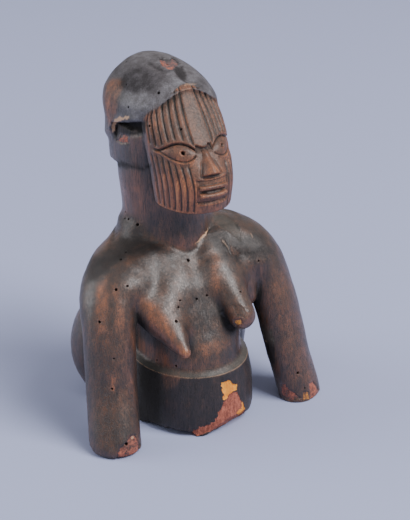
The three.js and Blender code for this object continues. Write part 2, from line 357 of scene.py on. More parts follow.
class Bust:
    """The whole block as one depth function, made of named forms."""

    CROWN = 203.0
    CHIN = 131.0
    HIP_TOP = 36.0
    BRIM_PEAK = 196.5
    TEMPLE = 15.0
    EAR_TOP = 177.8
    EAR_RUN = 32.0
    EAR_BACK = 48.0
    NAPE = 143.4
    CAP_THICKNESS = 2.6
    BREAKS = ((0.235, -0.712, -0.66, 19.1), (0.608, -0.435, -0.66, 20.4))

    def __init__(self) -> None:
        """Names the forms."""
        self.hips = Loft(Rows((
            (-4, 8, 36, 42, 50, 2),
            (8, 8, 36, 41.5, 50, 2),
            (24, 8, 35.5, 39.5, 52, 2),
            (36, 8, 33.5, 37.5, 44, 2),
        )), -9, 48, shift=-1.5)
        self.seat = Loft(Rows((
            (-4, 36, 45, 32, 34, 2),
            (20, 37, 47, 33, 37, 2),
            (42, 37, 41, 30, 30, 2),
            (62, 37, 24, 20, 18, 2),
        )), -9, 70)
        self.torso = Loft(Rows((
            (20, 8, 29, 34, 42, 2),
            (36, 8, 29.5, 35, 44, 2),
            (48, 10, 29.5, 34.2, 42, 2.1),
            (60, 15, 32.5, 33.4, 40, 2.1),
            (74, 22, 41, 32.6, 37, 2.2),
            (83, 28, 44.5, 33.5, 34, 2.3),
            (90, 32, 43.5, 30, 30, 2.4),
            (96, 36, 38, 23.5, 25, 2.4),
            (104, 39, 25, 17, 21, 2),
        )), 16, 124)
        self.neck = Loft(Rows((
            (82, 38, 29, 32, 26, 2),
            (91, 38, 28, 30.4, 25.5, 2),
            (98, 38, 26.6, 29.4, 25.2, 2),
            (105, 38.2, 25, 28.4, 25, 2),
            (113, 38.5, 24.5, 27, 25, 2),
            (140, 40, 26.2, 25.5, 27.4, 2),
            (160, 41, 26, 25.5, 26.5, 2),
        )), 76, 168)
        self.skull = Loft(Rows((
            (140, 44.5, 29, 28, 33.2, 2.2),
            (152, 45, 29.3, 31, 33.2, 2.2),
            (165, 45, 29, 36, 32.6, 2.2),
            (178, 45.5, 29.5, 41, 34, 2.2),
            (184, 46, 28, 42, 33.5, 2.2),
            (189, 46, 25, 39.5, 32, 2.1),
            (194.5, 46, 20.2, 33, 27.5, 2),
            (200.3, 46, 12.0, 20.5, 18.5, 2),
            (203.0, 46, 0, 0, 0, 2),
        ), crown=self.CROWN), 134, 222)
        self.shield = Loft(Rows((
            (131, 8, 21, 25.7, 12, 2.1),
            (147, 10, 22.5, 29.5, 14, 2.1),
            (164, 14, 23.5, 24, 16, 2.1),
            (180, 20.3, 22.3, 17.8, 16, 2.1),
            (191, 26.5, 17.8, 16, 16, 2.0),
            (199, 34, 12, 17.5, 10, 2.1),
        )), 118, 212)
        self.arms = ArmBar()
        self.rump = [Oval((side * 24, 47, 30), (33, 27, 38)) for side in (-1, 1)]
        self.right_chest = Drop((-10, 17, 83), (-23.5, -3.5, 68), (15, 13.4, 11.5))
        self.right_breast = Drop((-22.3, -3.5, 68), (-22.5, -26.5, 54.2), (11.5, 7.6, 2.2))
        self.right_side = Drop((-33, 10, 77), (-22.5, -26.5, 54.2), (12.5, 8.6, 2.2))
        self.left_side = Drop((35, 8, 80), (31, 1, 67), (9, 8))
        self.left_breast = Drop((15.5, 12, 84), (17.2, -20.4, 65.4), (14.5, 13.2, 11.4, 9.5, 8.1))

    def brim_height(self, x: Array) -> Array:
        """Height of the cap's lower edge over the face: a rounded peak with straight sides."""
        return self.BRIM_PEAK + 3.0 - 0.64 * np.sqrt(x * x + 26.0)

    def edge_height(self, points: Array) -> Array:
        """Height of the cap's lower edge: the brim, then a slant past the ear, then level."""
        x, y, _ = points.T
        past = y - self.TEMPLE
        run = past - self.EAR_RUN
        side = self.EAR_TOP - 0.29 * np.minimum(past, self.EAR_RUN)
        side -= 5.5 * smooth_step(-1.5, 3.0, run) + 6.0 * smooth_step(2.0, 18.0, run)
        return self.brim_height(x) + (side - self.brim_height(x)) * smooth_step(-6.0, 4.0, past)

    def inset(self, points: Array, under: Array) -> Array:
        """How far the head lies behind the cap's surface below the cap's edge.

        Args:
            points: Places, one row each.
            under: How far each lies below the edge.

        Returns:
            The step at the edge, and more in the ear's hollow close under it.
        """
        y = points[:, 1]
        ear = smooth_step(self.EAR_BACK + 1.2, self.EAR_BACK - 1.2, y) * smooth_step(14.0, 24.0, y)
        behind = smooth_step(self.EAR_BACK, self.EAR_BACK + 4.0, y)
        step = self.CAP_THICKNESS - 0.5 * smooth_step(14.0, 24.0, y)
        step *= 1.0 - behind * smooth_step(4.5, -0.5, under)
        return step + 4.0 * ear * smooth_step(-0.2, 0.8, under) * smooth_step(8.5, 2.4, under)

    def head(self, points: Array) -> Array:
        """Depth in the head: the cap down to its edge, what lies under it, and the face."""
        outer = self.skull.depth(points)
        below = 0.8 * (points[:, 2] - self.edge_height(points))
        roll = smooth_step(18.0, 26.0, points[:, 1]) * smooth_step(54.0, 49.0, points[:, 1])
        outer = outer - 0.7 * roll * bell(below - 1.2, 1.3)
        cap = trimmed(outer, -below, 0.9)
        cap = joined(cap, outer + self.inset(points, -below), 0.5)
        jaw = trimmed(cap, self.NAPE + 0.19 * np.maximum(52.0 - points[:, 1], 0.0) - points[:, 2], 0.9)
        face = trimmed(self.shield.depth(points), self.CHIN - points[:, 2], 1.4)
        face = np.maximum(face, below - 1.4)
        return joined(jaw, face, 1.0)

    def depth(self, points: Array) -> Array:
        """Depth of places in the whole block.

        Args:
            points: Places in millimetres, one row each.

        Returns:
            Depths in millimetres, below zero in the wood.
        """
        x, y, z = points.T
        rump = joined(self.rump[0].depth(points), self.rump[1].depth(points), 5.0)
        seat = joined(self.seat.depth(points), rump, 8.0)
        seat = trimmed(seat, 14.0 - y, 8.0)
        hips = self.hips.depth(points)
        hips = trimmed(hips, (z - self.HIP_TOP + hips) * 0.71, 0.5)
        for facet in self.BREAKS:
            hips = trimmed(hips, points @ np.array(facet[:3]) - facet[3], 1.0)
        hips = joined(hips, seat, 3.0)
        aside = 2.2 * smooth_step(66.0, 44.0, z) - 6.0 * smooth_step(12.0, 34.0, x) * bell(z - 78.0, 11.0)
        aside = np.array([1.0, 0.0, 0.0]) * aside[:, None]
        shrug = 3.6 * smooth_step(-8.0, -34.0, x) - 1.8 * smooth_step(8.0, 34.0, x)
        raised = points + np.array([0.0, 0.0, 1.0]) * (shrug * smooth_step(66.0, 92.0, z))[:, None]
        torso = trimmed(self.torso.depth(raised + aside), z - 106.0, 2.0)
        high = smooth_step(56.0, 80.0, z)
        torso = joined(torso, self.left_side.depth(points), 5.0)
        torso = joined(torso, self.left_breast.depth(points), 1.2 + 8.0 * smooth_step(66.0, 86.0, z))
        inner = (1.0 - high) * smooth_step(-25.0, -16.0, x)
        breast = np.minimum(self.right_chest.depth(points), self.right_breast.depth(points))
        breast = joined(breast, self.right_side.depth(points), 4.0)
        torso = joined(torso, breast, 1.5 + 5.0 * high + 6.0 * inner)
        body = joined(torso, hips, 1.0 + 5.0 * smooth_step(26.0, 40.0, y))
        outside = smooth_step(30.0, 60.0, np.abs(x))
        arms = trimmed(self.arms.depth(raised), -z, 0.9 + 4.4 * outside * (x < 0.0))
        body = joined(body, arms, 1.2 + 10.0 * smooth_step(70.0, 88.0, z))
        neck = self.neck.depth(points)
        body = joined(body, neck, 1.0 + 9.0 * smooth_step(14.0, 34.0, y))
        return joined(body, self.head(points), 1.2)

    def block(self, points: Array) -> Array:
        """Depth in the block, cut flat on the floor and undercut at the broken front edge."""
        x, y, z = points.T
        body = self.depth(points)
        gap = 2.8 * smooth_step(-17.0, -20.0, x) * smooth_step(-46.0, -36.0, x) * smooth_step(2.0, -6.0, y)
        return trimmed(body, gap - z, 0.8)

    def ledge(self, points: Array) -> Array:
        """How far each place belongs to the sloped ledge on top of the hips."""
        off_torso = smooth_step(0.3, 1.0, self.torso.depth(points + np.array([2.2, 0.0, 0.0])))
        band = smooth_step(-0.3, 0.3, points[:, 2] - self.HIP_TOP) * smooth_step(46.0, 44.0, points[:, 2])
        return off_torso * band * smooth_step(34.0, 26.0, points[:, 1]) * (np.abs(points[:, 0]) < 44.0)

    def slope(self, points: Array) -> Array:
        """The depth's gradient, from four samples at the corners of a small tetrahedron.

        Args:
            points: Places, one row each.

        Returns:
            One vector for each place, pointing out of the wood.
        """
        total = np.zeros_like(points)
        for corner in ((1, -1, -1), (-1, -1, 1), (-1, 1, -1), (1, 1, 1)):
            way = np.array(corner, dtype=float)
            total += way * self.block(points + 0.12 * way)[:, None]
        return total / 0.48

    def settle(self, points: Array, rounds: int) -> Array:
        """Moves places onto the surface, by steps of depth over steepness along one slope.

        Args:
            points: Places near the surface.
            rounds: Number of steps.

        Returns:
            The places on the surface.
        """
        slope = self.slope(points)
        steep = np.maximum((slope**2).sum(axis=1), 0.25)
        for _ in range(rounds):
            move = slope * (self.block(points) / steep)[:, None]
            length = np.maximum(np.linalg.norm(move, axis=1), 1e-9)
            points = points - move * np.minimum(1.0, 1.2 / length)[:, None]
        return points


@dataclass(frozen=True)
class Viewpoint:
    """The photograph's viewpoint, in millimetres and degrees."""

    azimuth: float = -29.3
    elevation: float = 25.0
    distance: float = 950.0
    focal: float = 1662.5
    target: tuple[float, float, float] = (8.16, 5.84, 91.2)
    width: int = 410
    height: int = 520

    def axes(self) -> tuple[Array, Array, Array]:
        """The view's right, up and backward directions."""
        a = math.radians(self.azimuth)
        e = math.radians(self.elevation)
        back = np.array([math.sin(a) * math.cos(e), -math.cos(a) * math.cos(e), math.sin(e)])
        right = np.array([math.cos(a), math.sin(a), 0.0])
        return right, np.cross(back, right), back

    def eye(self) -> Array:
        """The camera's place in millimetres."""
        return np.array(self.target) + self.distance * self.axes()[2]

    def pixels(self, points: Array) -> Array:
        """Where places fall in the picture.

        Args:
            points: Places, one row each.

        Returns:
            Their pixel coordinates, from the picture's top left corner.
        """
        right, up, back = self.axes()
        offset = points - self.eye()
        scale = self.focal / -(offset @ back)
        across = self.width / 2 + (offset @ right) * scale
        down = self.height / 2 - (offset @ up) * scale
        return np.column_stack([across, down])

    def hits(self, pixels: Array, bust: Bust) -> Array:
        """Follows the line of sight through each pixel to the wood.

        Args:
            pixels: Pixel coordinates, one row each.
            bust: The block to hit.

        Returns:
            The first place of each line that lies on the surface.
        """
        right, up, back = self.axes()
        ways = (
            (pixels[:, :1] - self.width / 2) * right
            - (pixels[:, 1:] - self.height / 2) * up
            - self.focal * back
        )
        ways /= np.linalg.norm(ways, axis=1)[:, None]
        points = self.eye() + ways * (self.distance - 160.0)
        for _ in range(90):
            points = points + ways * (0.6 * np.clip(bust.block(points), -8.0, 8.0))[:, None]
        return points

    def make(self) -> None:
        """Creates the camera and makes it the scene's own."""
        right, up, back = self.axes()
        data = bpy.data.cameras.new("photo_camera")
        data.sensor_width = 36.0
        data.lens = self.focal * data.sensor_width / self.height
        camera = bpy.data.objects.new("photo_camera", data)
        turn = Matrix((right, up, back)).transposed().to_4x4()
        camera.matrix_world = Matrix.Translation(Vector(self.eye() * MM)) @ turn
        bpy.context.scene.collection.objects.link(camera)
        bpy.context.scene.camera = camera


class Finish(Enum):
    """What a patch of the surface shows."""

    # Worn reddish-brown wood; on the left breast's inner slope it is a painted highlight, and on the right breast's
    # shaded flank painted light.
    WARM_WOOD_AND_HIGHLIGHT = "warm_wood_and_highlight"
    # A dull grey coat of dust; on the cap's front and left and on the upper forehead it is also a painted sheen.
    COLD_FILM_AND_SHEEN = "cold_film_and_sheen"
    # Dark dirt; in the ear's hollow, under the nape's ledge, on the shoulder tops and in the folds of chest and
    # shoulders it is painted shade.
    GRIME_AND_SHADE = "grime_and_shade"
    RED_WOOD = "red_wood"
    YELLOW_WOOD = "yellow_wood"
    # Light rubbed wood and scratches; along the brim, the ear's rim, the nape's ledge and the hip ledge it is a painted
    # highlight.
    PALE_WEAR_AND_GLINT = "pale_wear_and_glint"


@dataclass(frozen=True)
class Patch:
    """A worn, grimy or broken place, or a place of painted shade or painted highlight, outlined in the photograph's
    pixels.
    """

    finish: Finish
    outline: tuple[tuple[float, float], ...]
    soft: float = 2.0
    strength: float = 1.0
    depth: float = 0.0
    reach: float = 30.0

    def share(self, points: Array, pixels: Array, seed: Array) -> Array:
        """How much of the patch covers each place.

        The outline's signed distance in pixels, eased over its softness, on the wood within
        reach of the place that its middle hits.

        Args:
            points: Places, one row each.
            pixels: Where they fall in the picture.
            seed: The place that the outline's middle hits.

        Returns:
            Shares from 0 to 1.
        """
        corners = np.array(self.outline)
        result = np.zeros(len(points))
        near = np.linalg.norm(points - seed, axis=1) < self.reach
        place = pixels[near]
        following = np.roll(corners, -1, axis=0)
        edge = following - corners
        offset = place[:, None, :] - corners[None, :, :]
        t = np.clip((offset * edge).sum(axis=2) / (edge**2).sum(axis=1), 0.0, 1.0)
        gap = np.linalg.norm(offset - t[:, :, None] * edge, axis=2).min(axis=1)
        above = place[:, None, 1] < corners[None, :, 1]
        crosses = above != (place[:, None, 1] < following[None, :, 1])
        rise = np.where(edge[:, 1] == 0.0, 1e-9, edge[:, 1])
        left = offset[:, :, 0] < offset[:, :, 1] * (edge[:, 0] / rise)
        inside = (crosses & left).sum(axis=1) % 2 == 1
        signed = np.where(inside, gap, -gap)
        result[near] = smooth_step(-self.soft, self.soft, signed)
        return result


@dataclass(frozen=True)
class Net:
    """A mesh laid over the zero surface of a depth function."""

    spacing: float = 1.9
    margin: float = 3.0
    reach: float = 0.9

    def grid(self, low: Array, high: Array) -> list[Array]:
        """Even planes along each axis, from below low to above high."""
        start, end = low - self.margin, high + self.margin
        return [np.arange(start[axis], end[axis] + self.spacing, self.spacing) for axis in range(3)]

    def sample(self, bust: Bust, planes: list[Array]) -> Array:
        """Depths at the grid's nodes, worked out only near the surface.

        Every fourth plane is sampled first. A node is sampled itself where one of the coarse
        nodes around it lies within reach of the surface, and takes the coarse depth elsewhere.

        Args:
            bust: The block.
            planes: Places of the grid's planes along each axis.

        Returns:
            One depth for each node.
        """
        stride = 4
        coarse = [np.append(plane[::stride], plane[-1] + stride * self.spacing) for plane in planes]
        nodes = np.stack(np.meshgrid(*coarse, indexing="ij"), axis=-1)
        rough = bust.block(nodes.reshape(-1, 3)).reshape(nodes.shape[:3])
        near = np.abs(rough) < self.reach * stride * self.spacing
        wide = near.copy()
        for axis in range(3):
            ahead = np.roll(wide, -1, axis=axis)
            behind = np.roll(wide, 1, axis=axis)
            wide = wide | ahead | behind
        cells = [np.arange(len(plane)) // stride for plane in planes]
        index = np.ix_(*cells)
        values = rough[index].copy()
        chosen = np.argwhere(wide[index])
        points = np.stack([planes[axis][chosen[:, axis]] for axis in range(3)], axis=1)
        for part in np.array_split(np.arange(len(points)), max(1, len(points) // 50000)):
            values[tuple(chosen[part].T)] = bust.block(points[part])
        return values

    def lay(self, bust: Bust, low: Array, high: Array) -> tuple[Array, Array]:
        """Makes the mesh.

        Each grid cell that the surface crosses gets one point, the mean of the places where the
        depth passes zero along the cell's edges. Each grid edge that the surface crosses gets
        two triangles between the points of the four cells around it.

        Args:
            bust: The block.
            low: Lowest corner of its box.
            high: Highest corner of its box.

        Returns:
            The points, and the triangles as rows of three point numbers.
        """
        planes = self.grid(low, high)
        values = self.sample(bust, planes)
        shape = values.shape
        inside = values < 0.0
        cells = tuple(count - 1 for count in shape)
        held = sum(
            inside[i : cells[0] + i, j : cells[1] + j, k : cells[2] + k].astype(int)
            for i in (0, 1) for j in (0, 1) for k in (0, 1)
        )
        active = (held > 0) & (held < 8)
        number = np.full(cells, -1)
        number[active] = np.arange(active.sum())
        points = self.crossings(values, planes, np.argwhere(active))
        return points, self.faces(inside, number)

    def crossings(self, values: Array, planes: list[Array], cells: Array) -> Array:
        """The mean of the zero crossings on the twelve edges of each cell.

        Args:
            values: Depths at the grid's nodes.
            planes: Places of the grid's planes along each axis.
            cells: Lowest node of each cell.

        Returns:
            One point for each cell.
        """
        total = np.zeros((len(cells), 3))
        count = np.zeros(len(cells))
        places = np.stack([planes[axis][cells[:, axis]] for axis in range(3)], axis=1)
        for axis in range(3):
            others = [other for other in range(3) if other != axis]
            for first in (0, 1):
                for second in (0, 1):
                    corner = np.zeros(3, dtype=int)
                    corner[others[0]], corner[others[1]] = first, second
                    start = cells + corner
                    end = start.copy()
                    end[:, axis] += 1
                    a = values[tuple(start.T)]
                    b = values[tuple(end.T)]
                    crossed = (a < 0.0) != (b < 0.0)
                    step = corner.astype(float)[None, :].repeat(len(cells), axis=0)
                    step[:, axis] = a / np.where(crossed, a - b, 1.0)
                    total += np.where(crossed[:, None], places + step * self.spacing, 0.0)
                    count += crossed
        return total / count[:, None]

    def faces(self, inside: Array, number: Array) -> Array:
        """Two triangles for each crossed grid edge, facing out of the wood.

        Args:
            inside: Whether each node lies in the wood.
            number: The point number of each cell.

        Returns:
            Triangles as rows of three point numbers.
        """
        found = []
        for axis in range(3):
            first, second = (axis + 1) % 3, (axis + 2) % 3
            start = np.argwhere(np.diff(inside.astype(int), axis=axis) != 0)
            corners = []
            for back_first, back_second in ((1, 1), (0, 1), (0, 0), (1, 0)):
                cell = start.copy()
                cell[:, first] -= back_first
                cell[:, second] -= back_second
                corners.append(number[tuple(cell.T)])
            quads = np.stack(corners, axis=1)
            leaving = inside[tuple(start.T)]
            found.append(np.where(leaving[:, None], quads, quads[:, ::-1]))
        quads = np.vstack(found)
        return np.vstack([quads[:, [0, 1, 2]], quads[:, [0, 2, 3]]])


def edges_of(faces: Array) -> tuple[Array, Array]:
    """The mesh's edges.

    Args:
        faces: Triangles as rows of three point numbers.

    Returns:
        The edges as rows of two point numbers, and the three edge numbers of each triangle, the
        first between its first two corners.
    """
    pairs = np.sort(faces[:, [0, 1, 1, 2, 2, 0]].reshape(-1, 2), axis=1)
    edges, which = np.unique(pairs, axis=0, return_inverse=True)
    return edges, which.reshape(-1, 3)


def refined(points: Array, faces: Array, wanted: Array, edges: Array, which: Array) -> tuple[Array, Array]:
    """Halves each edge that is longer than wanted, and splits its triangles to match.

    Args:
        points: The mesh's points.
        faces: Its triangles.
        wanted: The longest length allowed to each edge.
        edges: Its edges.
        which: The edges of each triangle.

    Returns:
        The new points and triangles.
    """
    ends = points[edges]
    halve = np.linalg.norm(ends[:, 0] - ends[:, 1], axis=1) > wanted
    middle = np.full(len(edges), -1)
    middle[halve] = len(points) + np.arange(halve.sum())
    points = np.vstack([points, ends[halve].mean(axis=1)])
    marks = halve[which]
    mids = middle[which]
    count = marks.sum(axis=1)
    made = [faces[count == 0]]
    for turn in range(3):
        order = [turn, (turn + 1) % 3, (turn + 2) % 3]
        a, b, c = faces[:, order].T
        x, y, z = mids[:, order].T
        one = (count == 1) & marks[:, order[0]]
        two = (count == 2) & marks[:, order[0]] & marks[:, order[1]]
        made += [np.stack(corners, axis=1)[one] for corners in ((a, x, c), (x, b, c))]
        made += [np.stack(corners, axis=1)[two] for corners in ((x, b, y), (a, x, y), (a, y, c))]
    a, b, c = faces.T
    x, y, z = mids.T
    three = count == 3
    parts = ((a, x, z), (x, b, y), (y, c, z), (x, y, z))
    made += [np.stack(corners, axis=1)[three] for corners in parts]
    return points, np.vstack(made)


@dataclass(frozen=True)
class FaceCarving:
    """The cuts of the mask-like face, laid out by shares of the head's height."""

    bust: Bust
    eye_share: float = 0.46
    nose_share: float = 0.31
    mouth_share: float = 0.19
    forehead_cuts: int = 7
    cheek_cuts: int = 7

    def height(self, share: float) -> float:
        """The height at a share of the way from the chin to the crown."""
        return self.bust.CHIN + share * (self.bust.CROWN - self.bust.CHIN)

    def cover(self, points: Array) -> Array:
        """How far each place belongs to the front of the face: 1 on the shield, 0 off it."""
        x, y, z = points.T
        depth = np.abs(self.bust.shield.depth(points))
        on_shield = smooth_step(1.0, 0.5, depth) * smooth_step(-0.2, -0.9, z - self.bust.brim_height(x))
        middle = self.bust.shield.rows.at(z)[:, 0]
        return on_shield * (z > self.bust.CHIN + 0.3) * smooth_step(1.0, -2.0, y - middle)

    def cuts(self, arc: Array, z: Array, low: Array, high: Array, places: Array, width: float) -> Array:
        """Depth of upright cuts at even shares of the way round the face.

        Args:
            arc: Share of each place on the way from the middle of the face to its side.
            z: Heights.
            low: Lower end of the cuts at each place.
            high: Upper end of the cuts.
            places: Shares where the cuts lie.
            width: Half width of a cut, as a share.

        Returns:
            1 in the middle of a cut, 0 off it.
        """
        gap = np.abs(arc[:, None] - places[None, :]).min(axis=1)
        ends = smooth_step(0.0, 2.0, z - low) * smooth_step(0.0, 2.5, high - z)
        return bell(gap, width) * ends

    def carve(self, points: Array) -> tuple[Array, Array]:
        """Works out how deep the knife went.

        Args:
            points: Places on the uncut surface.

        Returns:
            The depth of wood removed, below zero where it stands proud, and the share of each
            place that is an upright cut.
        """
        x, y, z = points.T
        half = self.bust.shield.rows.at(z)[:, 1]
        u = np.clip(np.abs(x) / half, 0.0, 1.0)
        arc = np.arcsin(u) / (math.pi / 2.0)
        eye, nose, mouth = (self.height(s) for s in (self.eye_share, self.nose_share, self.mouth_share))
        along = np.clip((u - 0.22) / 0.70, 0.0, 1.0)
        arch = np.sin(math.pi * along)
        upper = eye + 0.6 + 4.2 * arch**0.8 + 1.0 * (1.0 - along)
        lower = eye - 0.4 - 3.4 * arch**0.9
        brow = np.where(u > 0.22, upper, eye + 2.4 + 1.4 * smooth_step(0.0, 0.22, u))
        open_share = np.clip((upper - z) / np.maximum(upper - lower, 0.1), 0.0, 1.0)

        below_brow = smooth_step(0.45, -0.45, z - brow)
        socket = below_brow * smooth_step(0.99, 0.93, u) * (1.0 - smooth_step(0.0, 1.0, (eye - 1.0 - z) / 9.0))
        depth = 1.7 * socket * (1.0 - 0.45 * open_share)
        in_eye = (u > 0.22) & (u < 0.92) & (z < upper) & (z > lower)
        depth -= in_eye * 1.25 * np.sin(math.pi * np.clip(open_share, 0.0, 1.0)) * arch**0.7
        lid_ends = smooth_step(0.18, 0.26, u) * smooth_step(0.995, 0.95, u)
        depth += 0.75 * bell(z - upper + 0.3, 0.42) * lid_ends
        depth += 0.65 * bell(z - lower, 0.38) * lid_ends * smooth_step(0.22, 0.3, u)
        depth -= 0.45 * bell(z - lower + 1.0, 0.6) * lid_ends * smooth_step(0.24, 0.34, u)
        pupil = np.hypot((np.abs(x) - 0.53 * half), z - eye - 0.5)
        depth += 2.4 * smooth_step(1.15, 0.6, pupil)

        forehead = self.cuts(arc, z, brow + 0.6, self.bust.brim_height(x) + 2.5,
                             np.linspace(0.17, 0.91, self.forehead_cuts), 0.017)
        cheek = self.cuts(arc, z, self.bust.CHIN + 0.2 + 0 * z, lower - 1.4,
                          np.linspace(0.33, 0.93, self.cheek_cuts), 0.019)
        flutes = forehead + cheek
        depth += 0.8 * flutes
        spacing = 0.123
        reed = np.cos(2.0 * math.pi * (arc - 0.17) / spacing) * (arc > 0.17) * (arc < 0.93)
        depth += 0.16 * reed * smooth_step(0.5, 2.5, z - brow)

        foot = smooth_step(-0.35, 0.35, z - nose)
        down = np.clip((eye + 3.0 - z) / (eye + 3.0 - nose), 0.0, 1.0)
        wide = 1.7 + 3.9 * down**1.5
        nose_profile = np.clip(1.0 - (np.abs(x) / wide) ** 1.7, 0.0, 1.0)
        depth -= foot * (0.5 + 3.9 * down**1.2) * nose_profile * (z < eye + 3.0)
        depth += 0.9 * bell(z - nose + 0.9, 0.8) * smooth_step(6.6, 5.0, np.abs(x))
        crease = np.abs(np.abs(x) - wide - 0.8)
        depth += 0.7 * bell(crease, 0.8) * smooth_step(eye - 2.0, eye - 6.0, z) * (z > nose - 1.0)

        plate = smooth_step(0.5, -0.5, np.abs(x) - 8.9) * smooth_step(nose, nose - 1.0, z)
        depth += 0.7 * bell(np.abs(x) - 9.4, 0.5) * smooth_step(nose - 1.2, nose - 2.6, z) * (z > mouth - 6.2)
        rise = z - mouth
        bow = 0.35 * (x / 8.0) ** 2
        depth += 0.8 * plate * smooth_step(7.4, 6.6, np.abs(rise + 0.6))
        for lip, height, thick in ((1.0, 2.5, 1.35), (-1.0, -2.5, 1.5)):
            offset = (rise - height + lip * bow) / thick
            depth -= 2.1 * plate * np.sqrt(np.clip(1.0 - offset**2, 0.0, 1.0)) * smooth_step(8.9, 7.6, np.abs(x))
        depth += 0.6 * plate * bell(rise, 0.6) * smooth_step(8.4, 7.0, np.abs(x))
        depth += 0.5 * bell(rise + 6.4, 0.5) * smooth_step(9.6, 8.6, np.abs(x))
        cover = self.cover(points)
        return depth * cover, np.clip(flutes, 0.0, 1.0) * cover


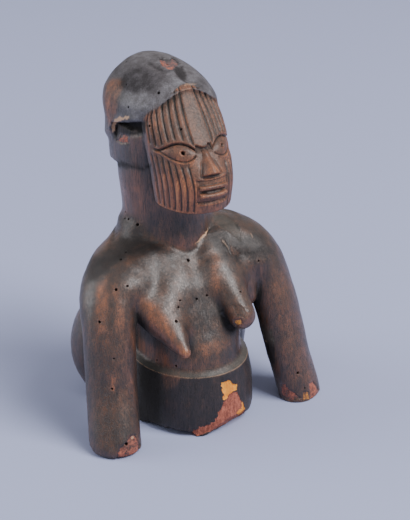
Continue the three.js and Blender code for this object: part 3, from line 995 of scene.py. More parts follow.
class Wear:
    """The chips, scrapes, stains and beetle holes that the photograph shows, and a few behind, with patches of painted
    shade and painted highlight.
    """

    HOLES = (
        (158.5, 92.8), (126.1, 84.6), (126.1, 61.6), (128.6, 107.2), (149.5, 126.1), (181.3, 129.3),
        (208.3, 143.3), (128.4, 219), (137.6, 224.7), (126, 251.9), (120.9, 259.4), (116, 289.6),
        (127.4, 286), (188.3, 260.1), (180.3, 300.5), (178.7, 307.1), (176.4, 321.2), (99.3, 322.1),
        (196.8, 299), (207.1, 295.5), (136.7, 335.3), (240.6, 291.7), (246, 285.5), (258.7, 261),
        (113.8, 358.8), (112, 389), (156.8, 360.3), (175.9, 366), (126.7, 444.1), (297.9, 373),
        (304.8, 388.2),
    )
    WIDE_HOLES = frozenset((0, 8, 11, 13, 16, 17, 28, 29))
    BACK_HOLES = 22

    # Some patches paint shade or highlights into the colour; the notes above them say which.
    PATCHES = (
        Patch(Finish.RED_WOOD, (
            (158.8, 57.7), (161.2, 57.3), (167, 58.7), (172.7, 56.8), (176.5, 58.7), (179.9, 63),
            (175.6, 66.8), (171.7, 69.2), (167.9, 68.7), (164.1, 66.8), (160.3, 63.5),
        ), soft=1.2, depth=1.1, strength=0.42, reach=16),
        Patch(Finish.GRIME_AND_SHADE, (
            (119, 84), (124, 74), (132, 68), (142, 66), (152, 70), (163, 76), (160, 84), (150, 89), (141, 88),
            (134, 93), (124, 91),
        ), soft=4.0, strength=0.6, reach=30),
        Patch(Finish.WARM_WOOD_AND_HIGHLIGHT, ((140, 66), (150, 63), (162, 70), (172, 74), (166, 79), (152, 72)), soft=3.0,
              strength=0.3, reach=24),
        # The next two: grey on the cap's front and left, dust with a painted sheen.
        Patch(Finish.COLD_FILM_AND_SHEEN, ((160, 88), (168, 77), (178, 77), (183, 82), (172, 91), (158, 99), (150, 98)),
              soft=2.5, strength=0.9, reach=22),
        Patch(Finish.COLD_FILM_AND_SHEEN, ((121, 104), (134, 93), (148, 92), (150, 104), (140, 113), (122, 115)),
              soft=4.0, strength=0.9, reach=22),
        Patch(Finish.GRIME_AND_SHADE, ((148, 62.5), (160, 67), (167, 70.5), (175, 69.5), (170, 72), (158, 71)),
              soft=1.5, strength=0.7, reach=20),
        Patch(Finish.GRIME_AND_SHADE, (
            (174.1, 68.3), (182.3, 66.5), (186.5, 75), (185, 80.7), (187, 84), (181.3, 79.5), (175.6, 74),
        ), soft=1.8, strength=0.9, depth=0.3, reach=20),
        # A light line on the brim's lit edge: painted highlight.
        Patch(Finish.PALE_WEAR_AND_GLINT, ((178.4, 87.4), (186, 83.6), (192, 82), (199, 83.6), (196, 85), (186, 86.4)),
              soft=1.2, strength=0.55, reach=18),
        Patch(Finish.WARM_WOOD_AND_HIGHLIGHT, (
            (110.5, 77.8), (119.1, 76.9), (125.8, 79.7), (123.9, 87.4), (120.6, 98.9), (118.2, 111.3),
            (113.4, 120.8), (107.7, 127.7), (104, 112), (102, 97), (104.5, 84),
        ), soft=6.0, strength=0.85, reach=30),
        Patch(Finish.RED_WOOD, (
            (115.5, 140.4), (120.3, 137), (121, 134.4), (124, 133.7), (128.7, 135.6), (129, 144.2), (120.5, 143.2),
        ), soft=1.2, strength=0.46, depth=0.5, reach=14),
        Patch(Finish.PALE_WEAR_AND_GLINT, ((119, 143), (124, 142), (129, 142.6), (129.4, 145), (124, 144.8), (119.6, 144.4)),
              soft=0.8, strength=0.5, reach=12),
        # A dark line under the nape's ledge: painted shadow.
        Patch(Finish.GRIME_AND_SHADE, (
            (111, 156), (114, 161), (119, 161.4), (134, 164.4), (143, 166.6), (151, 164), (150, 168), (142, 170.4),
            (130, 168.6), (116, 166), (111, 161),
        ), soft=1.4, strength=0.9, reach=30),
        # Glints on the nape's ledge: painted highlight.
        Patch(Finish.PALE_WEAR_AND_GLINT, ((118, 160), (124, 161), (135, 162.4), (139, 164.4), (130, 163.4), (119, 161.6)),
              soft=0.8, strength=0.5, reach=18),
        Patch(Finish.WARM_WOOD_AND_HIGHLIGHT, ((114, 170), (148, 176), (156, 212), (140, 226), (120, 212)), soft=6.0, strength=0.36, reach=44),
        # The ear's light rim: painted highlight along its edge.
        Patch(Finish.PALE_WEAR_AND_GLINT, (
            (111.6, 132), (111.8, 124), (114.3, 119.4), (118.6, 116.8), (128, 116), (137, 117.4), (128, 119.6),
            (120, 120.8), (117, 122.6), (115.6, 125.4), (115.2, 131.8),
        ), soft=1.0, strength=1.0, reach=16),
        # The dark hollow under the cap's edge at the ear: painted shade.
        Patch(Finish.GRIME_AND_SHADE, (
            (116.6, 125), (120, 122.8), (131, 122), (145, 121.4), (146, 133), (133, 136), (120, 133),
            (116.6, 139), (113.4, 139), (114.4, 133),
        ), soft=1.6, strength=1.0, reach=26),
        # The next two: the dark top of the right shoulder, dark dirt with painted shade on its top facet.
        Patch(Finish.GRIME_AND_SHADE, (
            (91.6, 254.6), (100.2, 256.6), (109.8, 255.6), (121.2, 250.8), (129, 251.7), (124, 258.4),
            (112.7, 264.2), (106, 271.9), (98.4, 279.6), (87.8, 282.5), (86.8, 271.9), (88.7, 262.3),
        ), soft=4.0, strength=0.8, reach=34),
        Patch(Finish.GRIME_AND_SHADE, (
            (97, 258), (108, 246), (120, 236), (134, 233), (150, 243), (166, 250), (152, 251), (128, 255),
            (113, 262), (103, 270),
        ), soft=3.0, strength=0.6, reach=40),
        # Darker in the fold of the neck and right shoulder: painted shade.
        Patch(Finish.GRIME_AND_SHADE, ((118, 214), (134, 214), (140, 228), (134, 242), (116, 240)),
              soft=5.0, strength=0.45, reach=26),
        Patch(Finish.WARM_WOOD_AND_HIGHLIGHT, ((150, 238), (170, 238), (190, 236), (205, 232), (201, 244), (182, 253), (166, 250)),
              soft=3.0, strength=0.5, reach=34),
        Patch(Finish.WARM_WOOD_AND_HIGHLIGHT, ((150, 188), (160, 172), (195, 182), (203, 214), (182, 216), (160, 210)),
              soft=6.0, strength=0.6, reach=44),
        # Greyer upper forehead: dust with a painted sheen.
        Patch(Finish.COLD_FILM_AND_SHEEN, ((150, 102), (185, 92), (215, 97), (222, 138), (200, 150), (165, 140)),
              soft=6.0, strength=0.35, reach=50),
        # Darker between the breasts: painted shade.
        Patch(Finish.GRIME_AND_SHADE, ((193, 264), (205, 268), (215, 288), (217, 312), (204, 332), (192, 322), (189, 292)),
              soft=7.0, strength=0.34, reach=50),
        Patch(Finish.WARM_WOOD_AND_HIGHLIGHT, ((96, 242), (108, 234), (124, 233), (116, 246), (100, 254), (93, 262)),
              soft=4.0, strength=0.5, reach=34),
        Patch(Finish.WARM_WOOD_AND_HIGHLIGHT, ((150, 308), (163, 318), (176, 338), (184, 350), (172, 346), (156, 328)),
              soft=4.0, strength=0.15, reach=34),
        Patch(Finish.WARM_WOOD_AND_HIGHLIGHT, ((130, 136), (143, 134), (146, 158), (134, 160), (129, 146)),
              soft=4.0, strength=0.3, reach=24),
        # Darker in the armpit folds by the right breast: painted shade.
        Patch(Finish.GRIME_AND_SHADE, ((118, 268), (134, 264), (152, 262), (152, 288), (138, 302), (126, 308), (119, 290)),
              soft=5.0, strength=0.15, reach=40),
        Patch(Finish.WARM_WOOD_AND_HIGHLIGHT, ((266, 268), (284, 268), (305, 320), (316, 376), (292, 380), (278, 330)),
              soft=6.0, strength=0.26, reach=70),
        Patch(Finish.WARM_WOOD_AND_HIGHLIGHT, ((139, 338), (152, 344), (168, 355), (173, 365), (150, 363), (139, 354)),
              soft=4.0, strength=0.8, reach=34),
        # The next two: darker on the left shoulder, painted shade that dulls its sheen.
        Patch(Finish.GRIME_AND_SHADE, ((226, 236), (262, 235), (274, 252), (262, 260), (238, 254)),
              soft=6.0, strength=0.7, reach=34),
        Patch(Finish.GRIME_AND_SHADE, ((211, 236), (226, 232), (246, 246), (240, 262), (222, 258)),
              soft=5.0, strength=0.7, reach=30),
        Patch(Finish.WARM_WOOD_AND_HIGHLIGHT, (
            (96.4, 283.3), (105, 281.4), (109.8, 294.8), (107.8, 314), (106.9, 333), (97.3, 335), (96.4, 304.4),
        ), soft=3.5, strength=0.9, reach=40),
        Patch(Finish.WARM_WOOD_AND_HIGHLIGHT, ((112, 285), (122, 284), (126, 303), (124, 330), (117, 330), (114, 305)),
              soft=4.0, strength=0.55, reach=40),
        # Worn reddish-brown wood on the right breast's flank, made lighter as painted light on its shaded side.
        Patch(Finish.WARM_WOOD_AND_HIGHLIGHT, (
            (138, 296), (156, 301), (166, 314), (178, 338), (190, 352), (186, 360), (172, 350), (152, 330),
        ), soft=4.0, strength=0.7, reach=40),
        Patch(Finish.WARM_WOOD_AND_HIGHLIGHT, ((180, 347), (185, 350), (190, 352), (190, 359), (184, 359), (178, 353)),
              soft=1.6, strength=1.0, reach=14),
        Patch(Finish.PALE_WEAR_AND_GLINT, ((209.2, 226.5), (206.8, 234.4), (200.6, 240.6), (195, 245.4), (200, 238.4), (205, 232.6)),
              soft=0.9, strength=1.0, depth=0.3, reach=14),
        Patch(Finish.COLD_FILM_AND_SHEEN, (
            (213.5, 215.4), (223, 214.4), (233.6, 220.1), (239.3, 228.7), (241.2, 242.2), (233.6, 234.6),
            (223, 228.8), (215.4, 222.1),
        ), soft=2.2, strength=0.85, depth=0.2, reach=30),
        Patch(Finish.GRIME_AND_SHADE, ((234.5, 222), (238, 224.5), (240.5, 230), (237, 228.5)), soft=1.2, strength=0.9, reach=12),
        Patch(Finish.PALE_WEAR_AND_GLINT, ((220.5, 236.5), (224.5, 240), (229.5, 248), (231.4, 256), (227.6, 249), (222, 241)),
              soft=1.2, strength=0.5, depth=0.35, reach=18),
        Patch(Finish.WARM_WOOD_AND_HIGHLIGHT, ((229.7, 244), (235, 248), (242, 255.5), (232.6, 255.6)), soft=1.4, strength=0.8,
              depth=0.3, reach=14),
        Patch(Finish.PALE_WEAR_AND_GLINT, ((246, 229), (251.5, 234), (257.2, 241.6), (250.5, 236)), soft=0.9, strength=0.6, reach=14),
        # The reddish light on the left breast's inner slope: painted highlight.
        Patch(Finish.WARM_WOOD_AND_HIGHLIGHT, ((213, 252), (221, 252), (221, 285), (214, 300), (209, 285)), soft=4.0, strength=0.7, reach=30),
        Patch(Finish.GRIME_AND_SHADE, (
            (231.7, 304.3), (241.2, 305.3), (248, 313.9), (245.1, 319.7), (237.4, 315.9),
        ), soft=3.0, strength=0.5, depth=0.3, reach=14),
        Patch(Finish.WARM_WOOD_AND_HIGHLIGHT, ((228, 306), (240, 304), (251, 312), (252, 322), (243, 328), (234, 323)),
              soft=3.0, strength=0.5, reach=22),
        Patch(Finish.YELLOW_WOOD, ((233.6, 320.4), (241, 318.7), (243, 323.4), (237.5, 326.3), (233.8, 323.8)),
              soft=1.5, strength=0.46, depth=0.5, reach=12),
        Patch(Finish.WARM_WOOD_AND_HIGHLIGHT, (
            (198.4, 344), (210.9, 341.1), (221.4, 340.2), (232, 341.1), (230.1, 348.8), (216.7, 355.5),
            (202.3, 357.5), (197.4, 351.7),
        ), soft=3.5, strength=0.5, reach=30),
        Patch(Finish.WARM_WOOD_AND_HIGHLIGHT, ((150, 357), (164, 362), (178, 362), (176, 369), (160, 366)), soft=3.0, strength=0.6, reach=22),
        Patch(Finish.WARM_WOOD_AND_HIGHLIGHT, ((161, 371.7), (178.4, 373.7), (182.2, 376.5), (176, 386.2), (165.9, 390)),
              soft=2.6, strength=1.0, reach=18),
        Patch(Finish.YELLOW_WOOD, (
            (221.9, 384.7), (229.5, 380.4), (233.4, 384.2), (237.2, 385.1), (237.2, 389.9), (233.8, 391.4),
            (231, 394.2), (228.1, 397.6), (224.8, 400), (223.8, 391.8),
        ), soft=0.7, depth=0.55, reach=16),
        Patch(Finish.RED_WOOD, (
            (228.1, 397.0), (231.5, 393.2), (237.2, 391.8), (240.5, 399.4), (243.9, 406.2), (245.4, 412),
            (237.7, 418), (230, 422), (221.4, 426), (211.8, 431), (204.2, 434), (192.7, 438), (190.5, 433),
            (199.4, 428.2), (209, 425.3), (215.7, 421.5), (219.5, 412.9), (223.3, 405.2),
        ), soft=0.8, depth=0.45, reach=40),
        Patch(Finish.YELLOW_WOOD, ((241, 400), (245.5, 408), (243.5, 413), (238, 416.5), (236.5, 413), (241.5, 408)),
              soft=1.5, strength=0.6, reach=16),
        Patch(Finish.RED_WOOD, (
            (131.3, 434.2), (135.6, 436.1), (139.4, 441.8), (141.4, 453.4), (134.6, 456.3), (127, 458.8),
            (116.4, 459.2), (116.4, 452.4), (121.2, 445.7), (127, 441.8), (128.9, 437.1),
        ), soft=1.6, depth=0.7, strength=0.46, reach=24),
        Patch(Finish.PALE_WEAR_AND_GLINT, ((131.5, 436), (134, 435), (134.5, 439), (132, 440)), soft=1.0, strength=0.8, reach=10),
        Patch(Finish.WARM_WOOD_AND_HIGHLIGHT, ((111.5, 377), (115.5, 377), (114.5, 392), (111, 391)), soft=1.6, strength=0.9, reach=14),
        Patch(Finish.RED_WOOD, (
            (280, 384.8), (284.8, 383.2), (289.9, 389.3), (295.8, 394.1), (302, 398), (291.2, 401),
            (284.1, 398.3), (281, 394.8),
        ), soft=1.6, depth=0.5, strength=0.46, reach=22),
        Patch(Finish.YELLOW_WOOD, ((302.3, 391.5), (309.7, 391.6), (310.1, 399), (302.3, 401)),
              soft=1.6, strength=0.46, depth=0.4, reach=14),
        Patch(Finish.RED_WOOD, (
            (309.1, 383.2), (313.5, 380.8), (317.1, 386.1), (321, 394.5), (314.8, 399), (310.4, 399), (309.7, 391.2),
        ), soft=1.6, depth=0.5, strength=0.5, reach=22),
        Patch(Finish.GRIME_AND_SHADE, ((139, 356), (158, 364), (161, 390), (159, 424), (139, 424)),
              soft=5.0, strength=0.9, reach=50),
    )

    def __init__(self, bust: Bust, view: Viewpoint) -> None:
        """Finds each hole's place on the wood.

        Args:
            bust: The block.
            view: The viewpoint that the holes' pixels are given from.
        """
        self.view = view
        front = view.hits(np.array(self.HOLES), bust)
        middles = np.array([np.mean(patch.outline, axis=0) for patch in self.PATCHES])
        self.seeds = view.hits(middles, bust)
        random = np.random.default_rng(7)
        back = np.column_stack([
            random.uniform(-46.0, 46.0, self.BACK_HOLES),
            random.uniform(20.0, 60.0, self.BACK_HOLES),
            random.uniform(20.0, 196.0, self.BACK_HOLES),
        ])
        for _ in range(24):
            back = bust.settle(back, 1)
        facing = back[:, 1] > 30.0
        self.centres = np.vstack([front, back[facing]])
        radii = random.uniform(0.42, 0.62, len(self.centres))
        for wide in self.WIDE_HOLES:
            radii[wide] = 0.8
        self.radii = radii

    def holes(self, points: Array) -> Array:
        """Distance from each place to the rim of the nearest hole, below zero inside it."""
        result = np.full(len(points), FAR)
        for centre, radius in zip(self.centres, self.radii):
            result = np.minimum(result, np.linalg.norm(points - centre, axis=1) - radius)
        return result

    def shares(self, points: Array) -> list[Array]:
        """How much of each patch covers each place, in the patches' order."""
        pixels = self.view.pixels(points)
        pixels[:, 0] += 0.9 * ripple(points, 4.0, 31)
        pixels[:, 1] += 0.9 * ripple(points, 4.0, 37)
        return [patch.share(points, pixels, seed) for patch, seed in zip(self.PATCHES, self.seeds)]


@dataclass(frozen=True)
class Sculptor:
    """Makes the figure's mesh: lays it, makes it finer, carves it and records its wear, painted shade and painted
    highlights.
    """

    bust: Bust
    carving: FaceCarving
    wear: Wear
    net: Net = Net()

    def wanted(self, points: Array) -> Array:
        """The longest edge allowed at each place.

        Short on the face, round holes, along cut edges and at chips; long elsewhere.
        """
        x, y, z = points.T
        bust = self.bust
        result = np.full(len(points), 3.6)
        face = self.carving.cover(points)
        result = np.minimum(result, np.where(face > 0.05, 0.8, 3.6))
        middle = (face > 0.05) & (np.abs(x) < 11.0) & (z < 168.0) & (z > 138.0)
        result = np.where(middle, 0.5, result)
        brim = np.abs(z - bust.brim_height(x))
        result = np.where((brim < 2.4) & (y < 24.0) & (z > 170.0), 0.8, result)
        edge = np.abs(z - bust.edge_height(points))
        result = np.where((edge < 1.8) & (z > 150.0), 1.1, result)
        result = np.where((np.abs(z - bust.HIP_TOP) < 1.8) & (y < 40.0) & (np.abs(x) < 40.0), 1.0, result)
        result = np.where(z < 1.6, 1.4, result)
        result = np.where((np.abs(z - bust.CHIN) < 1.6) & (y < 14.0), 0.9, result)
        hole = self.wear.holes(points)
        result = np.where(hole < 0.8, 0.36, np.where(hole < 1.6, 0.9, result))
        for patch, share in zip(Wear.PATCHES, self.wear.shares(points)):
            if patch.depth > 0.0:
                result = np.where((share > 0.02) & (share < 0.999), np.minimum(result, 0.8), result)
                result = np.where(share > 0.02, np.minimum(result, 1.3), result)
        return result

    def shape(self) -> tuple[Array, Array, dict[str, Array]]:
        """Makes the mesh.

        Returns:
            The points in millimetres, the triangles, and the finish masks by name.
        """
        low = np.array([-80.0, -36.0, 0.0])
        high = np.array([78.0, 82.0, 207.0])
        points, faces = self.net.lay(self.bust, low, high)
        log.info("net laid with %d triangles", len(faces))
        points = self.bust.settle(points, 3)
        for _ in range(3):
            edges, which = edges_of(faces)
            wanted = self.wanted(points[edges].mean(axis=1))
            old = len(points)
            points, faces = refined(points, faces, wanted, edges, which)
            points[old:] = self.bust.settle(points[old:], 2)
            log.info("refined to %d triangles", len(faces))
        slope = self.bust.slope(points)
        out = slope / np.maximum(np.linalg.norm(slope, axis=1), 1e-6)[:, None]
        depth, masks = self.carve(points)
        points = points - out * depth[:, None]
        masks["hollow"] = self.hollow(points, faces, out)
        masks["nook"], masks["ridge"] = self.nooks(points, out)
        return points, faces, masks

    def nooks(self, points: Array, out: Array) -> tuple[Array, Array]:
        """How closed in and how exposed each place is, from the depth found away from it.

        Args:
            points: The carved points.
            out: The outward direction at each point.

        Returns:
            Two shares: 1 - depth / step a few steps out, and the same a few steps in.
        """
        nook = np.zeros(len(points))
        for step in (3.0, 9.0):
            nook += 0.5 * np.clip(1.0 - self.bust.depth(points + step * out) / step, 0.0, 1.0)
        inner = 4.0
        ridge = np.clip(1.0 + self.bust.depth(points - inner * out) / inner, 0.0, 1.0)
        return nook, ridge

    def carve(self, points: Array) -> tuple[Array, dict[str, Array]]:
        """The depth removed at each place, and the finish masks.

        Args:
            points: Places on the uncut surface.

        Returns:
            The depths in millimetres, and each mask from 0 to 1 by its name.
        """
        x, y, z = points.T
        bust = self.bust
        face_depth, flutes = self.carving.carve(points)
        face = self.carving.cover(points)
        uneven = 0.22 * ripple(points, 26.0, 3) + 0.09 * ripple(points, 9.0, 5)
        strokes = points * np.array([1.0, 1.0, 0.35])
        facets = 0.12 * ripple(strokes, 7.0, 11)
        depth = face_depth + (uneven + facets) * (1.0 - 0.75 * face) * smooth_step(0.0, 3.0, z)
        shares = dict.fromkeys(Finish, np.zeros(len(points)))
        rough = ripple(points, 2.6, 17) + 0.6 * ripple(points, 1.3, 19)
        for patch, share in zip(Wear.PATCHES, self.wear.shares(points)):
            shares[patch.finish] = np.maximum(shares[patch.finish], share * patch.strength)
            if patch.depth > 0.0:
                ragged = smooth_step(0.35, 0.65, share)
                depth += ragged * (patch.depth + 0.16 * rough * (patch.depth > 0.4))
        hole = self.wear.holes(points)
        depth += 2.2 * smooth_step(0.12, -0.3, hole)
        masks = {finish.value: shares[finish] for finish in Finish}
        over = z - bust.edge_height(points)
        masks["cap"] = smooth_step(-0.5, 0.3, over) * smooth_step(150.0, 154.0, z) * (1.0 - face)
        # A light line along the front of the cap's lower edge: painted highlight.
        edge = bell(over - 0.5, 0.8) * (z > 150.0)
        front = smooth_step(14.0, 4.0, np.abs(x + 3.0)) * (y < 30.0) * edge
        masks["pale_wear_and_glint"] = np.maximum(masks["pale_wear_and_glint"], 0.55 * front)
        masks["ledge"] = bust.ledge(points)
        # A light line along the hip ledge's edge: painted highlight.
        lip = bell(z - bust.HIP_TOP, 0.45) * (y < 30.0) * (np.abs(x) < 42.0)
        masks["pale_wear_and_glint"] = np.maximum(masks["pale_wear_and_glint"], 0.62 * lip)
        masks["face"] = face
        masks["flutes"] = flutes
        masks["pit"] = smooth_step(0.2, -0.15, hole)
        masks["rim"] = smooth_step(1.3, 0.5, hole)
        drum = smooth_step(bust.HIP_TOP + 1.0, bust.HIP_TOP - 1.5, z) * (np.abs(x) < 44.0)
        masks["drum"] = drum * smooth_step(46.0, 24.0, y)
        return depth, masks

    def hollow(self, points: Array, faces: Array, out: Array) -> Array:
        """How hollow or proud the surface is: the neighbours' mean less the place, along outward.

        Args:
            points: The carved points.
            faces: The triangles.
            out: The outward direction at each point.

        Returns:
            About 0 to 1: 0.5 on a flat place, more in a crease, less on an edge.
        """
        edges, _ = edges_of(faces)
        count = np.bincount(edges.ravel(), minlength=len(points)).astype(float)

        def spread(values: Array) -> Array:
            """The mean of each point's neighbours."""
            total = np.bincount(edges[:, 0], values[edges[:, 1]], len(points))
            total += np.bincount(edges[:, 1], values[edges[:, 0]], len(points))
            return total / np.maximum(count, 1.0)

        near = points
        for _ in range(2):
            near = np.stack([spread(near[:, axis]) for axis in range(3)], axis=1)
        lift = ((near - points) * out).sum(axis=1)
        length = np.linalg.norm(points[edges[:, 0]] - points[edges[:, 1]], axis=1)
        mean = np.bincount(edges.ravel(), np.repeat(length, 2), len(points)) / np.maximum(count, 1.0)
        return np.clip(0.5 + 1.1 * lift / np.maximum(mean, 0.35), 0.0, 1.0)


def linear(red: int, green: int, blue: int) -> tuple[float, float, float, float]:
    """A colour for Blender from everyday 0 to 255 values."""
    parts = (channel / 255.0 for channel in (red, green, blue))
    return (*(p / 12.92 if p <= 0.04045 else ((p + 0.055) / 1.055) ** 2.4 for p in parts), 1.0)


class Board:
    """Adds nodes to one material and wires them."""

    def __init__(self, name: str) -> None:
        """Makes an empty material with its shader and output."""
        self.material = bpy.data.materials.new(name)
        self.material.use_nodes = True
        self.nodes = self.material.node_tree.nodes
        self.links = self.material.node_tree.links
        self.nodes.clear()
        output = self.nodes.new("ShaderNodeOutputMaterial")
        self.shader = self.nodes.new("ShaderNodeBsdfPrincipled")
        self.links.new(self.shader.outputs["BSDF"], output.inputs["Surface"])

    def feed(self, socket: bpy.types.NodeSocket, value: object) -> None:
        """Links a socket to a value, or sets it to a plain one."""
        if isinstance(value, bpy.types.NodeSocket):
            self.links.new(value, socket)
        else:
            socket.default_value = value

    def math(self, operation: str, *values: object, clamp: bool = False) -> bpy.types.NodeSocket:
        """One arithmetic node.

        Args:
            operation: The node's operation.
            values: What its sockets get, in order.
            clamp: Whether the result is held between 0 and 1.

        Returns:
            The result.
        """
        node = self.nodes.new("ShaderNodeMath")
        node.operation = operation
        node.use_clamp = clamp
        for socket, value in zip(node.inputs, values):
            self.feed(socket, value)
        return node.outputs[0]

    def total(self, *terms: tuple[object, float], start: float = 0.0) -> bpy.types.NodeSocket:
        """A weighted sum of values, each term a value and its weight."""
        result: object = start
        for value, weight in terms:
            result = self.math("MULTIPLY_ADD", value, weight, result)
        return result

    def rise(self, value: object, low: float, high: float) -> bpy.types.NodeSocket:
        """A smooth rise from 0 to 1 as a value goes from low to high."""
        node = self.nodes.new("ShaderNodeMapRange")
        node.interpolation_type = "SMOOTHSTEP"
        self.feed(node.inputs["Value"], value)
        if low > high:
            node.inputs["From Min"].default_value = high
            node.inputs["From Max"].default_value = low
            node.inputs["To Min"].default_value = 1.0
            node.inputs["To Max"].default_value = 0.0
        else:
            node.inputs["From Min"].default_value = low
            node.inputs["From Max"].default_value = high
        return node.outputs["Result"]

    def mix(self, share: object, first: object, second: object, blend: str = "MIX") -> bpy.types.NodeSocket:
        """Two colours mixed by a share."""
        node = self.nodes.new("ShaderNodeMix")
        node.data_type = "RGBA"
        node.blend_type = blend
        self.feed(node.inputs[0], share)
        self.feed(node.inputs[6], first)
        self.feed(node.inputs[7], second)
        return node.outputs[2]

    def attribute(self, name: str) -> bpy.types.NodeSocket:
        """A number kept on the mesh's points."""
        node = self.nodes.new("ShaderNodeAttribute")
        node.attribute_name = name
        return node.outputs["Fac"]

    def place(self, scale: tuple[float, float, float], turn: tuple[float, float, float] = (0, 0, 0)) -> bpy.types.NodeSocket:
        """Object coordinates in millimetres, stretched and turned."""
        source = self.nodes.new("ShaderNodeTexCoord")
        node = self.nodes.new("ShaderNodeMapping")
        node.inputs["Scale"].default_value = tuple(part / MM for part in scale)
        node.inputs["Rotation"].default_value = tuple(math.radians(part) for part in turn)
        self.links.new(source.outputs["Object"], node.inputs["Vector"])
        return node.outputs["Vector"]

    def noise(self, place: object, scale: float, detail: float = 3.0, roughness: float = 0.55) -> bpy.types.NodeSocket:
        """A cloudy value from 0 to 1, its scale in features per millimetre."""
        node = self.nodes.new("ShaderNodeTexNoise")
        self.feed(node.inputs["Vector"], place)
        node.inputs["Scale"].default_value = scale
        node.inputs["Detail"].default_value = detail
        node.inputs["Roughness"].default_value = roughness
        return node.outputs["Fac"]

    def ramp(self, value: object, stops: tuple[tuple[float, tuple[int, int, int]], ...]) -> bpy.types.NodeSocket:
        """A colour read from stops along a value."""
        node = self.nodes.new("ShaderNodeValToRGB")
        elements = node.color_ramp.elements
        while len(elements) < len(stops):
            elements.new(0.5)
        for element, (position, colour) in zip(elements, stops):
            element.position = position
            element.color = linear(*colour)
        self.feed(node.inputs["Fac"], value)
        return node.outputs["Color"]


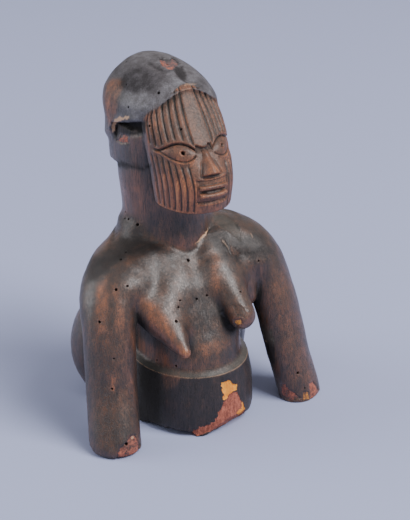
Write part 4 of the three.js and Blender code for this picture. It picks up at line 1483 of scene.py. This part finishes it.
@dataclass(frozen=True)
class Patina:
    """Old carved wood: handled dark skin, worn red-brown, a grey cap, dirt and raw breaks, with painted shade in
    creases and nooks and painted highlights on some edges.
    """

    skin: tuple[tuple[float, tuple[int, int, int]], ...] = (
        (0.00, (18, 13, 12)),
        (0.25, (40, 28, 24)),
        (0.45, (73, 48, 34)),
        (0.60, (100, 63, 44)),
        (0.80, (142, 86, 54)),
        (1.00, (184, 120, 74)),
    )
    cap: tuple[tuple[float, tuple[int, int, int]], ...] = (
        (0.25, (36, 33, 36)),
        (0.45, (68, 65, 69)),
        (0.60, (90, 88, 93)),
        (0.78, (120, 121, 128)),
    )
    # Dull grey coat, which on the forehead is also a painted sheen.
    film_and_sheen: tuple[int, int, int] = (76, 75, 70)
    red_low: tuple[int, int, int] = (104, 50, 40)
    red_high: tuple[int, int, int] = (184, 108, 86)
    yellow_low: tuple[int, int, int] = (222, 124, 32)
    yellow_high: tuple[int, int, int] = (252, 176, 64)
    # Light rubbed wood, also used for painted glints along lit edges.
    rubbed_and_glint: tuple[int, int, int] = (196, 156, 122)
    # Near-black inside the beetle holes: painted shade.
    hole: tuple[int, int, int] = (12, 9, 8)

    def dress(self, name: str) -> bpy.types.Material:
        """Builds the material.

        Args:
            name: The material's name.

        Returns:
            The material, which reads the masks on the mesh's points.
        """
        b = Board(name)
        even = b.place((1, 1, 1))
        broad = b.noise(even, 0.04, 2)
        mottle = b.noise(even, 0.22, 5, 0.62)
        streak = b.noise(b.place((1, 1, 0.13)), 0.28, 3, 0.5)
        grain = b.noise(b.place((1, 1, 0.08)), 1.5, 3, 0.6)
        speck = b.noise(even, 1.5, 3, 0.65)
        mask = {key: b.attribute(key) for key in (
            "warm_wood_and_highlight", "cold_film_and_sheen", "grime_and_shade", "red_wood", "yellow_wood", "pale_wear_and_glint", "cap", "face", "flutes",
            "pit", "rim", "drum", "hollow", "nook", "ridge", "ledge",
        )}
        scratch = 0.0
        for turn, stretch in ((34.0, 0.05), (-48.0, 0.06), (8.0, 0.08)):
            lines = b.noise(b.place((1.0, 1.0, stretch), (0.0, turn, 18.0)), 0.8, 2, 0.5)
            thin = b.rise(b.math("ABSOLUTE", b.math("SUBTRACT", lines, 0.5)), 0.03, 0.0)
            scratch = b.math("ADD", scratch, thin)
        ragged = b.total((mottle, 0.5), (speck, 0.5), start=-0.5)
        plain = b.math("SUBTRACT", 1.0, mask["rim"])
        crease = b.math("MULTIPLY", b.rise(mask["hollow"], 0.56, 0.9), plain)
        rub = b.math("MULTIPLY", b.rise(mask["hollow"], 0.42, 0.10), plain)
        nook = b.rise(mask["nook"], 0.18, 0.75)
        ridge = b.rise(mask["ridge"], 0.25, 0.8)
        # Darker in creases, nooks and the face's cuts: painted shade, with dirt gathered there. The worn-wood mask also
        # paints light on a few shaded places.
        warmth = b.total(
            (broad, 0.36), (mottle, 0.36), (streak, 0.54), (grain, 0.40), (speck, 0.30),
            (mask["warm_wood_and_highlight"], 0.34), (mask["face"], 0.21), (mask["drum"], -0.21), (mask["grime_and_shade"], -0.30),
            (mask["flutes"], -0.22), (crease, -0.25), (nook, -0.34), (rub, 0.14), (ridge, 0.10),
            (scratch, -0.16), start=-0.575,
        )
        colour = b.ramp(warmth, self.skin)
        # On the cap, creases and nooks are darker too, as painted shade, and the dust mask lightens it as a painted
        # sheen.
        grey = b.total((broad, 0.35), (mottle, 0.75), (speck, 0.70), (crease, -0.3), (nook, -0.15),
                       (mask["grime_and_shade"], -0.28), (mask["cold_film_and_sheen"], 0.10), start=-0.38)
        bare = b.math("SUBTRACT", 1.0, b.rise(b.total((mask["warm_wood_and_highlight"], 1.0), (ragged, 0.8)), 0.2, 0.9))
        cap_share = b.math("MULTIPLY", mask["cap"], bare, clamp=True)
        colour = b.mix(cap_share, colour, b.ramp(grey, self.cap))
        # The dull grey coat, and on the forehead a painted sheen.
        cold_film_and_sheen = b.math("MULTIPLY", mask["cold_film_and_sheen"], b.math("SUBTRACT", 1.0, mask["cap"]))
        film_and_sheen = b.math("MULTIPLY", b.total((ragged, 1.4), start=0.65), b.math("MAXIMUM", cold_film_and_sheen, mask["ledge"]), clamp=True)
        colour = b.mix(film_and_sheen, colour, linear(*self.film_and_sheen))
        wood_line = b.rise(b.total((grain, 0.5), (speck, 0.4), (mottle, 0.4)), 0.5, 0.8)
        red = b.mix(wood_line, linear(*self.red_low), linear(*self.red_high))
        red_edge = b.rise(b.total((mask["red_wood"], 1.0), (ragged, 1.0)), 0.34, 0.56)
        red_share = b.math("MULTIPLY", red_edge, b.rise(mask["red_wood"], 0.05, 0.4), clamp=True)
        colour = b.mix(red_share, colour, red)
        yellow = b.mix(wood_line, linear(*self.yellow_low), linear(*self.yellow_high))
        yellow_edge = b.rise(b.total((mask["yellow_wood"], 1.0), (ragged, 0.8)), 0.34, 0.56)
        yellow_share = b.math("MULTIPLY", yellow_edge, b.rise(mask["yellow_wood"], 0.05, 0.4), clamp=True)
        colour = b.mix(yellow_share, colour, yellow)
        # Light rubbed wood, and painted glints along lit edges.
        pale_wear_and_glint_share = b.rise(b.total((mask["pale_wear_and_glint"], 1.0), (ragged, 0.6)), 0.3, 0.95)
        colour = b.mix(pale_wear_and_glint_share, colour, linear(*self.rubbed_and_glint))
        # Near-black inside each hole: painted shade.
        colour = b.mix(mask["pit"], colour, linear(*self.hole))
        b.feed(b.shader.inputs["Base Color"], colour)

        raw = b.math("MAXIMUM", red_share, yellow_share)
        rough = b.total((mottle, 0.18), (speck, 0.14), (raw, 0.35), (mask["grime_and_shade"], 0.35), (nook, 0.45), (film_and_sheen, 0.5), (scratch, 0.15), (ridge, -0.09),
                        (mask["pit"], 0.4), (mask["drum"], 0.12), (mask["cap"], 0.22), (mask["face"], 0.14), start=0.235)
        b.feed(b.shader.inputs["Roughness"], b.math("MINIMUM", rough, 0.95))
        b.shader.inputs["IOR"].default_value = 1.55
        b.shader.inputs["Coat Roughness"].default_value = 0.37
        dull = b.total((raw, 0.5), (mask["pit"], 0.5), (film_and_sheen, 0.5), (mask["grime_and_shade"], 0.5), (nook, 0.6),
                       (mask["cap"], 0.3), (mask["face"], 0.25), (mask["drum"], 0.3))
        b.feed(b.shader.inputs["Coat Weight"], b.math("SUBTRACT", 0.6, dull, clamp=True))

        relief = b.total((grain, 0.5), (speck, 0.45), (mottle, 0.4), (scratch, -0.6))
        bump = b.nodes.new("ShaderNodeBump")
        bump.inputs["Strength"].default_value = 0.6
        bump.inputs["Distance"].default_value = 0.35 * MM
        b.feed(bump.inputs["Height"], relief)
        b.feed(b.shader.inputs["Normal"], bump.outputs["Normal"])
        return b.material


class CarvedBust:
    """The figure's one piece."""

    def __init__(self, view: Viewpoint) -> None:
        """Sets up the block, its carving and its wear."""
        self.bust = Bust()
        self.sculptor = Sculptor(self.bust, FaceCarving(self.bust), Wear(self.bust, view))

    def build(self) -> bpy.types.Object:
        """Makes the piece and gives it its finish.

        Returns:
            The object, at the origin, with its place in its mesh.
        """
        points, faces, masks = self.sculptor.shape()
        mesh = bpy.data.meshes.new("bust")
        mesh.from_pydata((points * MM).tolist(), [], faces.tolist())
        mesh.polygons.foreach_set("use_smooth", np.ones(len(faces), dtype=bool))
        for name, values in masks.items():
            layer = mesh.attributes.new(name, "FLOAT", "POINT")
            layer.data.foreach_set("value", values.astype(np.float32))
        mesh.update()
        piece = bpy.data.objects.new("bust", mesh)
        bpy.context.scene.collection.objects.link(piece)
        mesh.materials.append(Patina().dress("carved_wood"))
        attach(piece, "root")
        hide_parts("carved_bust")
        log.info("bust: %d triangles", len(faces))
        return piece


@dataclass(frozen=True)
class Studio:
    """A plain pale floor and soft light."""

    floor_colour: tuple[int, int, int] = (164, 173, 208)
    floor_size: float = 8.0

    def floor(self) -> None:
        """A flat floor, which isn't part of the object."""
        half = self.floor_size / 2
        mesh = bpy.data.meshes.new("studio_floor")
        mesh.from_pydata([(-half, -half, 0), (half, -half, 0), (half, half, 0), (-half, half, 0)], [], [(0, 1, 2, 3)])
        b = Board("studio_paper")
        b.shader.inputs["Base Color"].default_value = linear(*self.floor_colour)
        b.shader.inputs["Roughness"].default_value = 0.9
        b.shader.inputs["Specular IOR Level"].default_value = 0.1
        mesh.materials.append(b.material)
        piece = bpy.data.objects.new("studio_floor", mesh)
        bpy.context.scene.collection.objects.link(piece)

    def lamp(self, name: str, place: tuple[float, float, float], size: float, power: float,
             colour: tuple[float, float, float]) -> None:
        """A square soft lamp aimed at the figure's chest.

        Args:
            name: The lamp's name.
            place: Where it hangs, in metres.
            size: Its side in metres.
            power: Its power in watts.
            colour: Its colour.
        """
        data = bpy.data.lights.new(name, "AREA")
        data.size = size
        data.energy = power
        data.color = colour
        lamp = bpy.data.objects.new(name, data)
        lamp.location = place
        lamp.rotation_euler = (Vector((0.0, 0.0, 0.1)) - Vector(place)).to_track_quat("-Z", "Y").to_euler()
        bpy.context.scene.collection.objects.link(lamp)

    def light(self) -> None:
        """The world's even light, a main lamp and a weak one."""
        world = bpy.data.worlds.new("studio_air")
        world.use_nodes = True
        background = world.node_tree.nodes["Background"]
        background.inputs["Color"].default_value = linear(217, 211, 211)
        background.inputs["Strength"].default_value = 0.70
        bpy.context.scene.world = world
        self.lamp("front_lamp", (0.92, -1.32, 2.0), 1.4, 86.0, (1.0, 0.97, 0.96))
        self.lamp("rim_lamp", (-1.71, 1.19, 0.95), 1.4, 27.0, (0.97, 0.98, 1.0))


def main() -> None:
    """Builds the figure, the studio and the camera."""
    logging.basicConfig(level=logging.INFO, format="%(message)s")
    view = Viewpoint()
    view.make()
    CarvedBust(view).build()
    studio = Studio()
    studio.floor()
    studio.light()


if __name__ == "__main__":
    main()
